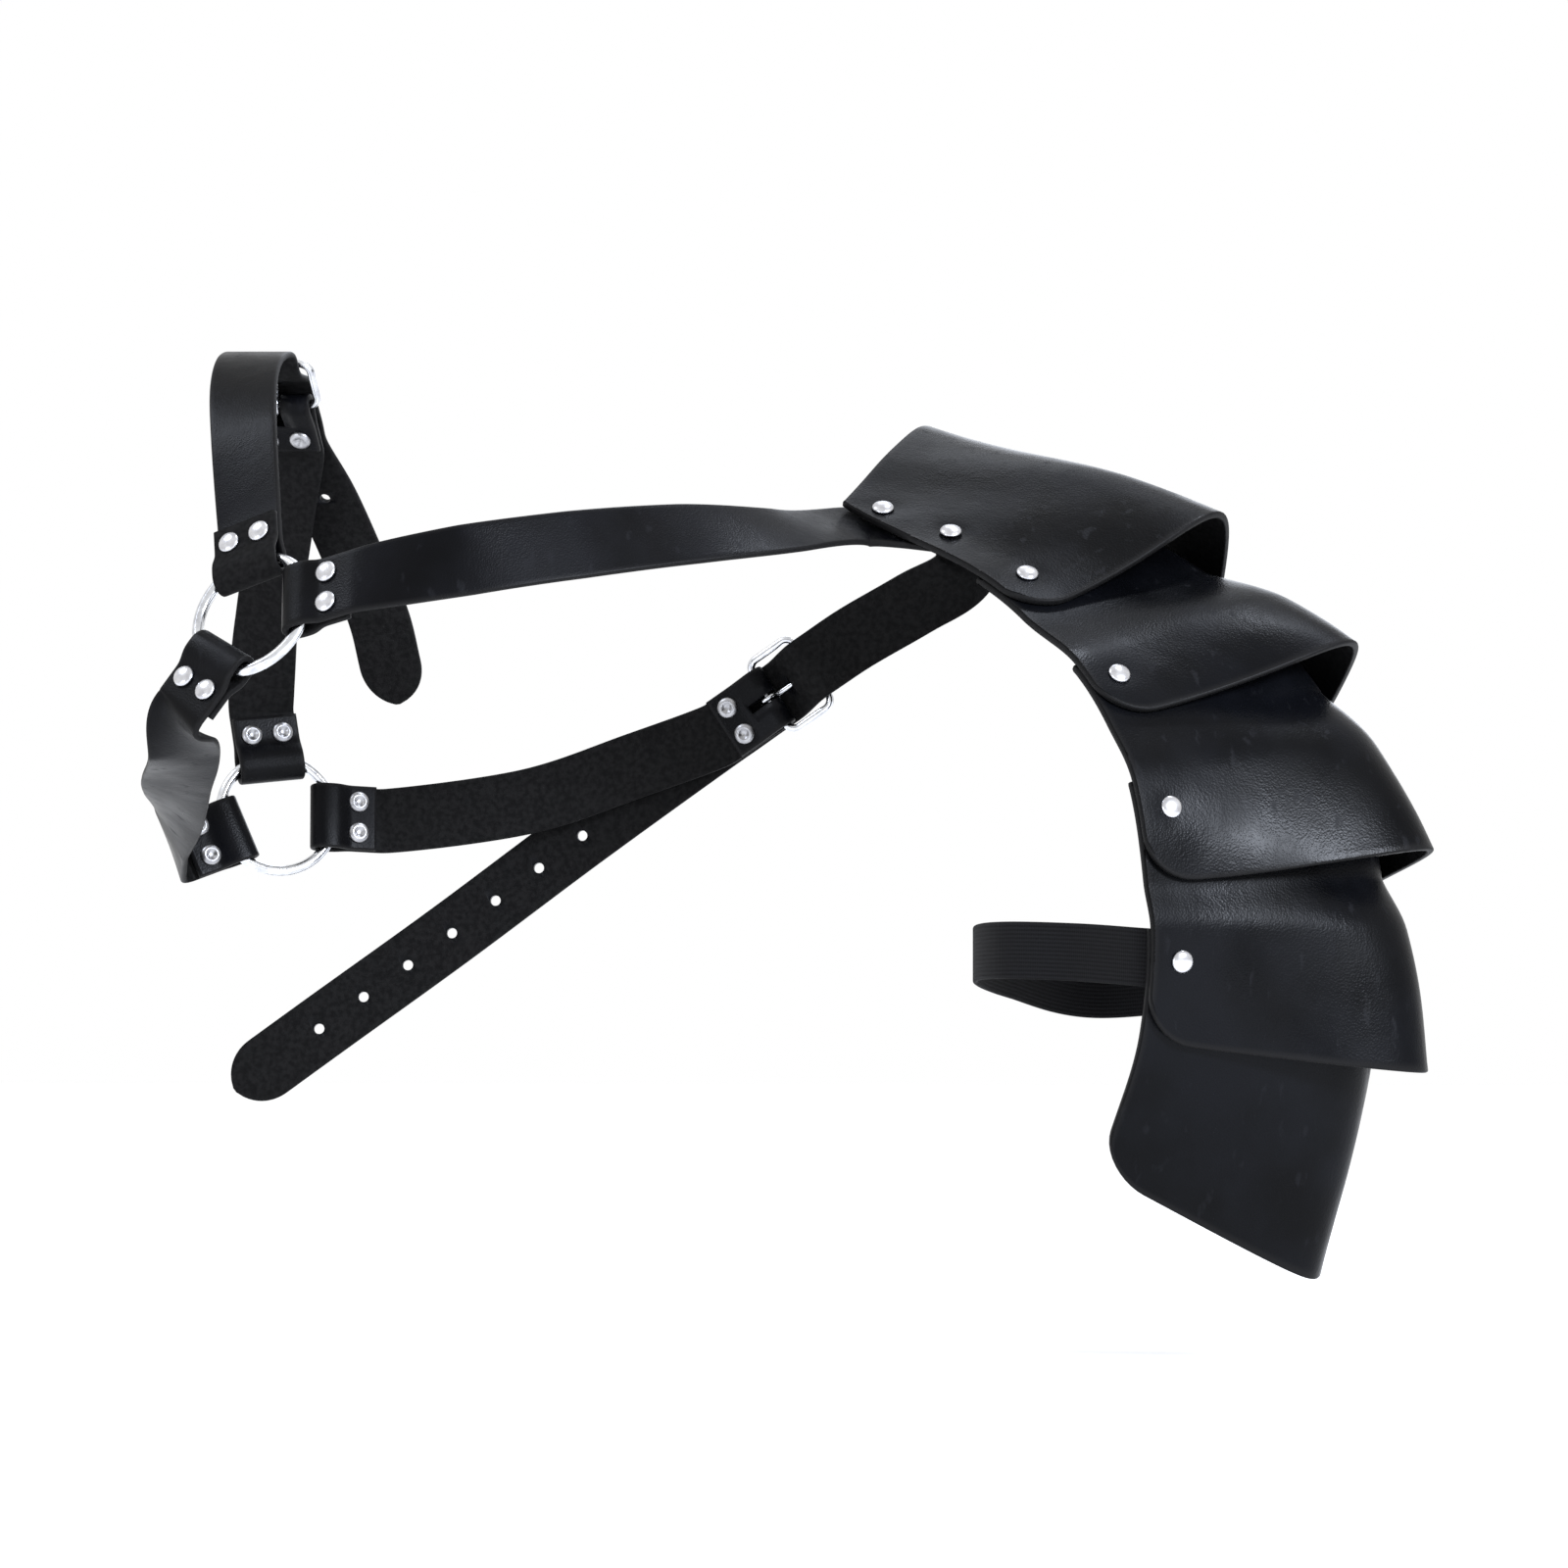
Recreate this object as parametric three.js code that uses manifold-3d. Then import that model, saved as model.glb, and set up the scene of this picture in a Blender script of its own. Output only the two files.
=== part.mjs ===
// Black leather pauldron for the left shoulder: five overlapping lames on a chest and back harness.
// Millimetres, +Z up, -Y to the front, +X outward from the wearer's left shoulder.
// The origin is the seat: the point under the ridge of the top lame that rests on the shoulder.
import * as THREE from "three";
import { mergeVertices } from "three/addons/utils/BufferGeometryUtils.js";
import Module from "manifold-3d";

const wasm = await Module();
wasm.setup();

// Leather stock
const LAME_LEATHER = 2.6;
const STRAP_LEATHER = 2.4;
const STRAP_WIDTH = 25;
const BAND_THICKNESS = 1.8;
const BAND_WIDTH = 20;

// Clearances between pieces that touch
const SEAT_GAP = 0.35;
const LAYER_GAP = 0.5;

// Lames
const RIDGE_REACH = 120;
const RIDGE_FALL = 280;
const HALF_DEPTH = 78;
const ARCH_DROP = 57;
const EDGE_SWEEP = 26;
const LAME_YAW = 20;
const APEX_RADIUS = 12;
const LAME_FLARE = 20;
const FLARE_FOOT = 0.8;
const LAME_CORNER = 16;
const LAP_MARGIN = 10;

// Rivets
const CAP_RADIUS = 4;
const CAP_HEIGHT = 1.8;
const CAP_DOME = { radius: 0.65, height: 0.75 };
const POST_RADIUS = 1.5;
const HOLE_CLEARANCE = 0.3;
const RIVET_SIDES = 8;
const RIVET_SEARCH = 7;
const RIVET_SPREAD = 12;

// Rings
const RING_RADIUS = 22;
const RING_WIRE = 4;
const RING_RIVET_REACH = 31;
const RING_FLAP_REACH = 38;

// Buckles
const BUCKLE_LENGTH = 20;
const BUCKLE_INNER_WIDTH = 28;
const BUCKLE_BAR = 3;
const BUCKLE_CORNER = 4;
const BUCKLE_RIVET_REACH = 15;
const BUCKLE_FLAP_REACH = 21;
const PRONG_WIRE = 2;
const PIN_SIDES = 6;
const TIP_LENGTH = 16;

// Harness
const HARNESS_SPAN = 340;
const HARNESS_DEPTH = 150;
const HARNESS_HEIGHT = 200;
const TAIL_HOLE_RADIUS = 2;
const TAIL_HOLE_PITCH = 21;
const LONG_TAIL_HOLES = { first: 40, count: 7 };
const SHORT_TAIL_HOLES = { first: 88, count: 2 };
const FREE_STEP = 13.5;

const vec = (x, y, z) => new THREE.Vector3(x, y, z);
const smooth = (x) => x * x * (3 - 2 * x);
const clamp = (x) => Math.min(1, Math.max(0, x));
const mix = (a, b, share) => a.clone().lerp(b, share);

// Closed solids
function solidOf(points, faces) {
  const vertProperties = new Float32Array(points.flatMap((p) => [p.x, p.y, p.z]));
  let volume = 0;
  for (const [a, b, c] of faces) {
    volume += points[a].dot(points[b].clone().cross(points[c]));
  }
  const outward = volume > 0 ? faces : faces.map(([a, b, c]) => [a, c, b]);
  const triVerts = new Uint32Array(outward.flat());
  return new wasm.Manifold(new wasm.Mesh({ numProp: 3, vertProperties, triVerts }));
}

function solidOfGeometry(geometry) {
  const bare = geometry.clone();
  bare.deleteAttribute("normal");
  bare.deleteAttribute("uv");
  const merged = mergeVertices(bare, 1e-4);
  const place = merged.getAttribute("position");
  const points = [];
  for (let i = 0; i < place.count; i += 1) {
    points.push(new THREE.Vector3().fromBufferAttribute(place, i));
  }
  const index = merged.getIndex().array;
  const faces = [];
  for (let i = 0; i < index.length; i += 3) {
    const face = [index[i], index[i + 1], index[i + 2]];
    if (new Set(face).size === 3) {
      faces.push(face);
    }
  }
  return solidOf(points, faces);
}

function geometryOf(solid) {
  const mesh = solid.getMesh();
  const geometry = new THREE.BufferGeometry();
  geometry.setAttribute("position", new THREE.BufferAttribute(mesh.vertProperties, 3));
  geometry.setIndex(new THREE.BufferAttribute(mesh.triVerts, 1));
  return geometry;
}

// Turns a shape made along +Y so that it stands at a point along an axis
function standing(geometry, centre, axis) {
  const turn = new THREE.Quaternion().setFromUnitVectors(vec(0, 1, 0), axis);
  return geometry.clone().applyQuaternion(turn).translate(centre.x, centre.y, centre.z);
}

// Materials and the list of pieces
const blackLeather = () => new THREE.MeshStandardMaterial({ color: 0x15161a, roughness: 0.45, metalness: 0 });
const blackElastic = () => new THREE.MeshStandardMaterial({ color: 0x1d1e21, roughness: 0.85, metalness: 0 });
const nickel = () => new THREE.MeshStandardMaterial({ color: 0xb9bcc0, roughness: 0.28, metalness: 1 });

const pauldron = new THREE.Group();

function addPiece(name, solid, material) {
  const mesh = new THREE.Mesh(geometryOf(solid), material);
  mesh.name = name;
  pauldron.add(mesh);
}

// Pieces before they are drilled, by name, with their material
const blanks = new Map();

function addBlank(name, solid, material) {
  blanks.set(name, { solid, material });
}

// Rivets: two domed caps on one post, in holes through every layer that they hold
const rivets = [];

function addRivet(name, held, centre, axis) {
  rivets.push({ name, held, centre, axis: axis.clone().normalize() });
}

function rodSolid(centre, axis, radius, length, sides = RIVET_SIDES) {
  const rod = new THREE.CylinderGeometry(radius, radius, length, sides);
  return solidOfGeometry(standing(rod, centre, axis));
}

// Where the outermost and innermost faces of the held layers lie along the rivet
function seatsOf({ held, centre, axis }) {
  const column = rodSolid(centre, axis, CAP_RADIUS, 2 * RIVET_SEARCH);
  const heights = [];
  held.forEach((name) => {
    const layers = blanks.get(name).solid.intersect(column).getMesh().vertProperties;
    for (let i = 0; i < layers.length; i += 3) {
      heights.push(vec(layers[i], layers[i + 1], layers[i + 2]).sub(centre).dot(axis));
    }
  });
  return [Math.min(...heights) - SEAT_GAP, Math.max(...heights) + SEAT_GAP];
}

function rivetSolid(rivet, [low, high]) {
  const profile = [
    [0, low - CAP_HEIGHT],
    [CAP_DOME.radius * CAP_RADIUS, low - CAP_DOME.height * CAP_HEIGHT],
    [CAP_RADIUS, low],
    [POST_RADIUS, low],
    [POST_RADIUS, high],
    [CAP_RADIUS, high],
    [CAP_DOME.radius * CAP_RADIUS, high + CAP_DOME.height * CAP_HEIGHT],
    [0, high + CAP_HEIGHT],
  ];
  const lathe = new THREE.LatheGeometry(profile.map(([x, y]) => new THREE.Vector2(x, y)), RIVET_SIDES);
  return solidOfGeometry(standing(lathe, rivet.centre, rivet.axis));
}

// Shoulder skin: one arched surface that all five lames follow.
// Each row is a line across the shoulder: its tilt in degrees, then where its ridge point lies,
// how far it reaches fore and aft, how far its ends drop and how far they sweep back up the arm,
// as shares of the named sizes.
const SKIN_ROWS = [
  { tilt: 16.0, reach: -0.497, fall: -0.099, half: 0.795, drop: 0.561, sweep: -0.42 },
  { tilt: 19.0, reach: 0.444, fall: 0.115, half: 0.897, drop: 0.5, sweep: 0.935 },
  { tilt: 36.7, reach: 0.819, fall: 0.274, half: 0.974, drop: 0.602, sweep: 1.015 },
  { tilt: 63.0, reach: 1.0, fall: 0.504, half: 1.0, drop: 0.772, sweep: 0.758 },
  { tilt: 89.4, reach: 0.962, fall: 0.744, half: 0.936, drop: 0.846, sweep: 0.481 },
  { tilt: 104.0, reach: 0.803, fall: 1.002, half: 0.846, drop: 0.993, sweep: 0.973 },
];
const LAME_COUNT = SKIN_ROWS.length - 1;

// Joint rivets of each lame: distance in from the front and back edges and up from the lower edge
const JOINT_ROWS = [
  { inset: 12.5, rise: 17 },
  { inset: 10.5, rise: 16 },
  { inset: 11, rise: 24 },
  { inset: 10.5, rise: 27 },
];

const outward = vec(Math.cos(THREE.MathUtils.degToRad(LAME_YAW)), -Math.sin(THREE.MathUtils.degToRad(LAME_YAW)), 0);
const backward = vec(-outward.y, outward.x, 0);
const ridgeCurve = new THREE.CatmullRomCurve3(
  SKIN_ROWS.map((row) => vec(row.reach * RIDGE_REACH, row.tilt, -row.fall * RIDGE_FALL)),
);
const sectionCurve = new THREE.CatmullRomCurve3(
  SKIN_ROWS.map((row) => vec(row.half * HALF_DEPTH, row.drop * ARCH_DROP, row.sweep * EDGE_SWEEP)),
);

function archShare(v, half) {
  const rise = (w) => Math.hypot(w, APEX_RADIUS) - APEX_RADIUS;
  return rise(v * half) / rise(half);
}

// A line across the skin at t, from 0 at the top edge of the first lame to 5 at the lowest edge
function skinLine(t) {
  const ridge = ridgeCurve.getPoint(clamp(t / LAME_COUNT));
  const section = sectionCurve.getPoint(clamp(t / LAME_COUNT));
  const tilt = THREE.MathUtils.degToRad(ridge.y);
  return {
    ridge: outward.clone().multiplyScalar(ridge.x).setZ(ridge.z),
    down: outward.clone().multiplyScalar(Math.cos(tilt)).setZ(-Math.sin(tilt)),
    out: outward.clone().multiplyScalar(Math.sin(tilt)).setZ(Math.cos(tilt)),
    half: section.x,
    drop: section.y,
    sweep: section.z,
  };
}

function skinPoint(t, v) {
  const line = skinLine(t);
  const share = archShare(v, line.half);
  return line.ridge.clone()
    .addScaledVector(backward, line.half * v)
    .addScaledVector(line.out, -line.drop * share)
    .addScaledVector(line.down, -line.sweep * share);
}

function normalOf(surface, t, v) {
  const step = 0.01;
  const alongLame = surface(Math.min(t + step, LAME_COUNT), v).sub(surface(Math.max(t - step, 0), v));
  const acrossLame = surface(t, v + step).sub(surface(t, v - step));
  return alongLame.cross(acrossLame).normalize();
}

function legLength(t) {
  const line = skinLine(t);
  return Math.hypot(line.half, line.drop);
}

function sideLength(lame) {
  return skinPoint(lame, 1).distanceTo(skinPoint(lame - 1, 1));
}

// How far below its own lower edge each lame has the next one under it, as a share of its side
function lapShare(lame) {
  const joint = JOINT_ROWS[Math.min(lame, JOINT_ROWS.length) - 1];
  return (joint.rise + LAP_MARGIN) / sideLength(lame);
}

// Middle of a lame's leather: each lame lifts over the next one and its ridge flares out
function lamePoint(lame, t, v) {
  const lowest = lame === LAME_COUNT;
  const shown = clamp(t - lame + 1);
  const lift = lowest ? 0 : (LAME_LEATHER + LAYER_GAP) * smooth(clamp(shown / (1 - lapShare(lame))));
  const line = skinLine(t);
  const rise = Math.max(0, 1 - archShare(v, line.half) / FLARE_FOOT);
  const flare = lowest ? 0 : LAME_FLARE * shown * Math.pow(rise, 1.5);
  return skinPoint(t, v)
    .addScaledVector(normalOf(skinPoint, t, v), lift)
    .addScaledVector(line.out, flare);
}

const CORNER_STEPS = 3;
const LEG_SHARES = [0.55];
const APEX_STEPS = [1.7, 0.7];
const SHOWN_STEPS = [1 / 3, 2 / 3];

// Columns run from the front edge over the ridge to the back edge
function lameColumns() {
  const front = [];
  for (let k = 0; k <= CORNER_STEPS; k += 1) {
    const angle = (k / CORNER_STEPS) * Math.PI / 2;
    front.push({ inset: LAME_CORNER * (1 - Math.cos(angle)), trim: LAME_CORNER * (1 - Math.sin(angle)) });
  }
  LEG_SHARES.forEach((share) => front.push({ share, trim: 0 }));
  APEX_STEPS.forEach((step) => front.push({ apex: step, trim: 0 }));
  const back = front.map((column) => ({ ...column, mirrored: true })).reverse();
  return [...front, { share: 0, trim: 0 }, ...back];
}

function columnShare(column, t) {
  const sign = column.mirrored ? 1 : -1;
  if (column.inset !== undefined) {
    return sign * (1 - column.inset / legLength(t));
  }
  if (column.apex !== undefined) {
    return sign * column.apex * APEX_RADIUS / skinLine(t).half;
  }
  return sign * column.share;
}

function lameRows(lame) {
  const start = lame === 1 ? 0 : lame - 1 - lapShare(lame - 1);
  const lap = lame - lapShare(lame);
  const edge = lame - 1;
  const upper = lame === 1 ? [0] : [start, (start + edge) / 2, edge];
  const shown = SHOWN_STEPS.map((share) => edge + (lap - edge) * share);
  return [...upper, ...shown, lap, (lap + lame) / 2, lame];
}

function lameSolid(lame) {
  const columns = lameColumns();
  const rows = lameRows(lame);
  const lap = lame - lapShare(lame);
  const surface = (t, v) => lamePoint(lame, t, v);
  const outer = [];
  const inner = [];
  rows.forEach((row) => {
    columns.forEach((column) => {
      const low = lame - column.trim / sideLength(lame);
      const t = row <= lap ? row : lap + (row - lap) * (low - lap) / (lame - lap);
      const v = columnShare(column, t);
      const middle = surface(t, v);
      const normal = normalOf(surface, t, v);
      outer.push(middle.clone().addScaledVector(normal, LAME_LEATHER / 2));
      inner.push(middle.clone().addScaledVector(normal, -LAME_LEATHER / 2));
    });
  });
  const across = columns.length;
  const count = outer.length;
  const faces = [];
  const addQuad = (a, b, c, d) => faces.push([a, b, c], [a, c, d]);
  for (let r = 0; r < rows.length - 1; r += 1) {
    for (let c = 0; c < across - 1; c += 1) {
      const at = r * across + c;
      addQuad(at, at + 1, at + across + 1, at + across);
      addQuad(count + at, count + at + across, count + at + across + 1, count + at + 1);
    }
  }
  const rim = [];
  for (let c = 0; c < across - 1; c += 1) {
    rim.push(c);
  }
  for (let r = 0; r < rows.length - 1; r += 1) {
    rim.push(r * across + across - 1);
  }
  for (let c = across - 1; c > 0; c -= 1) {
    rim.push((rows.length - 1) * across + c);
  }
  for (let r = rows.length - 1; r > 0; r -= 1) {
    rim.push(r * across);
  }
  rim.forEach((a, i) => {
    const b = rim[(i + 1) % rim.length];
    addQuad(b, a, count + a, count + b);
  });
  return solidOf([...outer, ...inner], faces);
}

// Rivets that join each lame to the next, and both straps to the first lame
const SIDES = [
  { side: "front", sign: -1, strap: "chest_strap" },
  { side: "back", sign: 1, strap: "back_billet" },
];
const STRAP_RIVETS = [
  { along: 0.16, inset: 7.5 },
  { along: 0.45, inset: 11.5 },
];

// Middle of a strap that lies against the inside of the first lame
function underLame([t, v, slack = 0]) {
  const surface = (a, b) => lamePoint(1, a, b);
  const normal = normalOf(surface, t, v);
  const depth = LAME_LEATHER / 2 + 2 * SEAT_GAP + slack + STRAP_LEATHER / 2;
  return { place: surface(t, v).addScaledVector(normal, -depth), face: normal };
}

// Middle of the elastic band under the lap of the fourth and fifth lames
function bandSeat(sign) {
  const joint = JOINT_ROWS[LAME_COUNT - 2];
  const t = LAME_COUNT - 1 - joint.rise / sideLength(LAME_COUNT - 1);
  const v = sign * (1 - joint.inset / legLength(t));
  const normal = normalOf(skinPoint, t, v);
  const depth = LAME_LEATHER / 2 + 2 * SEAT_GAP + BAND_THICKNESS / 2;
  return { t, v, place: skinPoint(t, v).addScaledVector(normal, -depth), face: normal };
}

SIDES.forEach(({ side, sign, strap }) => {
  STRAP_RIVETS.forEach(({ along, inset }, i) => {
    const v = sign * (1 - inset / legLength(along));
    const axis = normalOf((a, b) => lamePoint(1, a, b), along, v);
    addRivet(`strap_rivet_${side}_${i + 1}`, ["lame_1", strap], lamePoint(1, along, v), axis);
  });
  JOINT_ROWS.forEach(({ inset, rise }, i) => {
    const lame = i + 1;
    const t = lame - rise / sideLength(lame);
    const v = sign * (1 - inset / legLength(t));
    const held = [`lame_${lame}`, `lame_${lame + 1}`];
    if (lame === LAME_COUNT - 1) {
      held.push("arm_band");
    }
    addRivet(`joint_rivet_${side}_${lame}`, held, skinPoint(t, v), normalOf(skinPoint, t, v));
  });
});

for (let lame = 1; lame <= LAME_COUNT; lame += 1) {
  addBlank(`lame_${lame}`, lameSolid(lame), blackLeather());
}

// Rings of bright wire. Each strap leaves its ring in the ring's own plane at an angle of its own.
const RINGS = {
  front: {
    centre: vec(-0.769 * HARNESS_SPAN, -0.967 * HARNESS_DEPTH, -0.255 * HARNESS_HEIGHT),
    face: vec(-0.27, -0.88, 0.4).normalize(),
  },
  back: {
    centre: vec(-0.909 * HARNESS_SPAN, 0.216 * HARNESS_DEPTH, -0.557 * HARNESS_HEIGHT),
    face: vec(0.5, -0.85, 0.18).normalize(),
  },
};

function ringAnchor(ring, degrees, outside) {
  const across = vec(0, 0, 1).cross(ring.face).normalize();
  const upright = ring.face.clone().cross(across);
  const angle = THREE.MathUtils.degToRad(degrees);
  const along = across.multiplyScalar(Math.cos(angle)).addScaledVector(upright, Math.sin(angle));
  return { centre: ring.centre, along, face: ring.face.clone().multiplyScalar(outside) };
}

Object.entries(RINGS).forEach(([name, ring]) => {
  const torus = new THREE.TorusGeometry(RING_RADIUS, RING_WIRE / 2, PIN_SIDES, 20);
  torus.rotateX(Math.PI / 2);
  addPiece(`${name}_ring`, solidOfGeometry(standing(torus, ring.centre, ring.face)), nickel());
});

// Folds: the end of a strap turns round a wire and is riveted to itself
const TURN_STEPS = 5;
const LEAD_OUT = 3;
const closeLift = (STRAP_LEATHER + LAYER_GAP) / 2;

function ringFold() {
  const edgeWire = Math.sqrt(RING_RADIUS ** 2 - (STRAP_WIDTH / 2) ** 2);
  const wideLift = RING_WIRE / 2 + 2 * SEAT_GAP + STRAP_LEATHER / 2;
  const inside = edgeWire - (RING_WIRE / 2) * (RING_RADIUS / edgeWire) - 2 * SEAT_GAP;
  return {
    turnAt: inside - STRAP_LEATHER / 2 + wideLift,
    wideLift,
    spreadAt: RING_RADIUS + LAYER_GAP,
    settleAt: RING_RIVET_REACH - CAP_RADIUS + LAYER_GAP,
    rivetAt: RING_RIVET_REACH,
    endAt: RING_FLAP_REACH,
  };
}

function barFold() {
  return {
    turnAt: 0,
    wideLift: (BUCKLE_BAR / 2 + SEAT_GAP + STRAP_LEATHER / 2) / Math.cos(Math.PI / (2 * TURN_STEPS)),
    spreadAt: BUCKLE_BAR / 2,
    settleAt: BUCKLE_RIVET_REACH - CAP_RADIUS - 2 * LAYER_GAP,
    rivetAt: BUCKLE_RIVET_REACH,
    endAt: BUCKLE_FLAP_REACH,
  };
}

// Stations from the end of the flap, round the wire and out along the strap.
// flapSide is 1 where the flap lies on the outer face and -1 where it lies on the wearer's side.
function foldStations(anchor, fold, flapSide) {
  const side = anchor.along.clone().cross(anchor.face);
  const at = (reach, lift) => ({
    place: anchor.centre.clone().addScaledVector(anchor.along, reach).addScaledVector(anchor.face, lift * flapSide),
    side,
  });
  const stations = [at(fold.endAt, closeLift), at(fold.settleAt, closeLift), at(fold.spreadAt, fold.wideLift)];
  for (let k = 0; k <= TURN_STEPS; k += 1) {
    const angle = Math.PI / 2 + (k / TURN_STEPS) * Math.PI;
    stations.push(at(fold.turnAt + fold.wideLift * Math.cos(angle), fold.wideLift * Math.sin(angle)));
  }
  stations.push(at(fold.spreadAt, -fold.wideLift), at(fold.settleAt, -closeLift), at(fold.endAt, -closeLift));
  return stations;
}

function foldRivets(name, strap, anchor, fold) {
  const side = anchor.along.clone().cross(anchor.face);
  [-1, 1].forEach((half, i) => {
    const centre = anchor.centre.clone()
      .addScaledVector(anchor.along, fold.rivetAt)
      .addScaledVector(side, half * RIVET_SPREAD / 2);
    addRivet(`${name}_${i + 1}`, [strap], centre, anchor.face);
  });
}

// A strap as a flat ribbon through stations, each with a place, a width direction and a width
function ribbonSolid(stations, width, thickness) {
  const points = [];
  stations.forEach((station, i) => {
    const before = stations[Math.max(i - 1, 0)].place;
    const after = stations[Math.min(i + 1, stations.length - 1)].place;
    const along = after.clone().sub(before).normalize();
    const face = station.side.clone().cross(along).normalize();
    const side = along.clone().cross(face);
    const reach = (width / 2) * (station.share ?? 1);
    for (const [a, b] of [[1, 1], [-1, 1], [-1, -1], [1, -1]]) {
      points.push(station.place.clone().addScaledVector(side, a * reach).addScaledVector(face, b * thickness / 2));
    }
  });
  const faces = [[0, 1, 2], [0, 2, 3]];
  for (let i = 0; i < stations.length - 1; i += 1) {
    for (let k = 0; k < 4; k += 1) {
      const a = 4 * i + k;
      const b = 4 * i + (k + 1) % 4;
      faces.push([a, a + 4, b + 4], [a, b + 4, b]);
    }
  }
  const last = 4 * (stations.length - 1);
  faces.push([last + 2, last + 1, last], [last + 3, last + 2, last]);
  return solidOf(points, faces);
}

// The free stretch between two ends follows a smooth curve; its face turns evenly between the rows
function freeStations(rows) {
  const route = new THREE.CatmullRomCurve3(rows.map((row) => row.place), false, "centripetal");
  const spans = rows.length - 1;
  const stations = [];
  const addStation = (span, share) => {
    const t = (span + share) / spans;
    const face = mix(rows[span].face, rows[Math.min(span + 1, spans)].face, share);
    stations.push({ place: route.getPoint(t), side: route.getTangent(t).cross(face).normalize() });
  };
  for (let span = 0; span < spans; span += 1) {
    const steps = Math.ceil(rows[span].place.distanceTo(rows[span + 1].place) / FREE_STEP);
    for (let i = 0; i < steps; i += 1) {
      addStation(span, i / steps);
    }
  }
  addStation(spans, 0);
  return stations;
}

function harnessRow([across, back, up, faceX, faceY, faceZ]) {
  return {
    place: vec(across * HARNESS_SPAN, back * HARNESS_DEPTH, up * HARNESS_HEIGHT),
    face: vec(faceX, faceY, faceZ).normalize(),
  };
}

// The strap's layer that leaves a fold, as two rows that start or end its free stretch
function leaveRows(anchor, fold, flapSide) {
  return [0, LEAD_OUT].map((extra) => ({
    place: anchor.centre.clone()
      .addScaledVector(anchor.along, fold.endAt + extra)
      .addScaledVector(anchor.face, -closeLift * flapSide),
    face: anchor.face,
  }));
}

const reversed = (stations) => [...stations].reverse().map((s) => ({ ...s, side: s.side.clone().negate() }));

// Routes of the free stretches. Each row is a place, across, back and up, as shares of the harness
// sizes, and then the direction that the outer face looks in.
const ROUTES = {
  chest: [
    [-0.544, -0.98, -0.17, -0.05, -1, 0.1],
    [-0.447, -0.84, -0.137, 0.05, -1, 0.2],
    [-0.347, -0.65, -0.107, 0.1, -0.9, 0.4],
    [-0.262, -0.45, -0.088, 0.1, -0.7, 0.65],
  ],
  shoulder: [
    [-0.815, -0.72, 0.09, -0.2, -0.8, 0.6],
    [-0.832, -0.6, 0.19, -0.1, -0.55, 0.85],
    [-0.84, -0.49, 0.24, 0, -0.15, 1],
  ],
  rise: [
    [-0.915, 0.16, -0.19, 0.1, 0.95, 0.3],
    [-0.888, 0.053, -0.07, 0.1, 0.9, 0.4],
    [-0.865, -0.05, 0.03, 0.05, 0.8, 0.6],
  ],
  under: [
    [-0.857, -0.856, -0.490, 0.19, -0.29, -0.94],
    [-0.900, -0.628, -0.534, -0.10, -0.26, -0.96],
    [-0.940, -0.385, -0.572, -0.50, -0.34, -0.79],
    [-0.976, -0.168, -0.600, -0.81, -0.39, -0.44],
  ],
  back: [
    [-0.645, 0.46, -0.527, 0.05, 1, 0],
    [-0.53, 0.51, -0.46, 0.03, 1, 0.05],
  ],
  billet: [
    [-0.276, 0.485, -0.225, 0, 1, 0.1],
    [-0.206, 0.48, -0.16, 0.05, 0.95, 0.3],
    [-0.15, 0.47, -0.105, 0, 0.8, 0.6],
  ],
  shortTail: [
    [-0.83, 0.03, 0.035, 0.05, 0.8, 0.6],
    [-0.813, 0.14, -0.07, 0.1, 0.9, 0.4],
    [-0.793, 0.23, -0.19, 0.1, 0.95, 0.3],
    [-0.786, 0.27, -0.27, 0.1, 0.95, 0.3],
  ],
  longTail: [
    [-0.594, 0.56, -0.59, 0, 1, 0.05],
    [-0.747, 0.51, -0.785, 0, 1, 0.05],
    [-0.882, 0.44, -0.955, -0.05, 1, 0.05],
    [-0.944, 0.4, -1.035, -0.05, 1, 0.05],
  ],
};

// Buckles: along points from the heel bar to the outer bar, face away from the wearer
const BUCKLES = {
  shoulder: {
    centre: vec(-0.846 * HARNESS_SPAN, -0.24 * HARNESS_DEPTH, 0.18 * HARNESS_HEIGHT),
    along: vec(0.04, -0.75, 0.66),
    face: vec(0, 0.66, 0.75),
  },
  back: {
    centre: vec(-0.374 * HARNESS_SPAN, 0.507 * HARNESS_DEPTH, -0.335 * HARNESS_HEIGHT),
    along: vec(0.83, -0.03, 0.55),
    face: vec(0.03, 1, 0.05),
  },
};

Object.values(BUCKLES).forEach((buckle) => {
  buckle.along.normalize();
  buckle.side = buckle.along.clone().cross(buckle.face).normalize();
  buckle.face = buckle.side.clone().cross(buckle.along).normalize();
  buckle.at = (along, side, face) => buckle.centre.clone()
    .addScaledVector(buckle.along, along)
    .addScaledVector(buckle.side, side)
    .addScaledVector(buckle.face, face);
});

// The billet comes under the outer bar, rises through the frame and lies on the other strap's end
const BAR_APPROACH = { outside: 6, inside: 2, clear: 4 };

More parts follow.
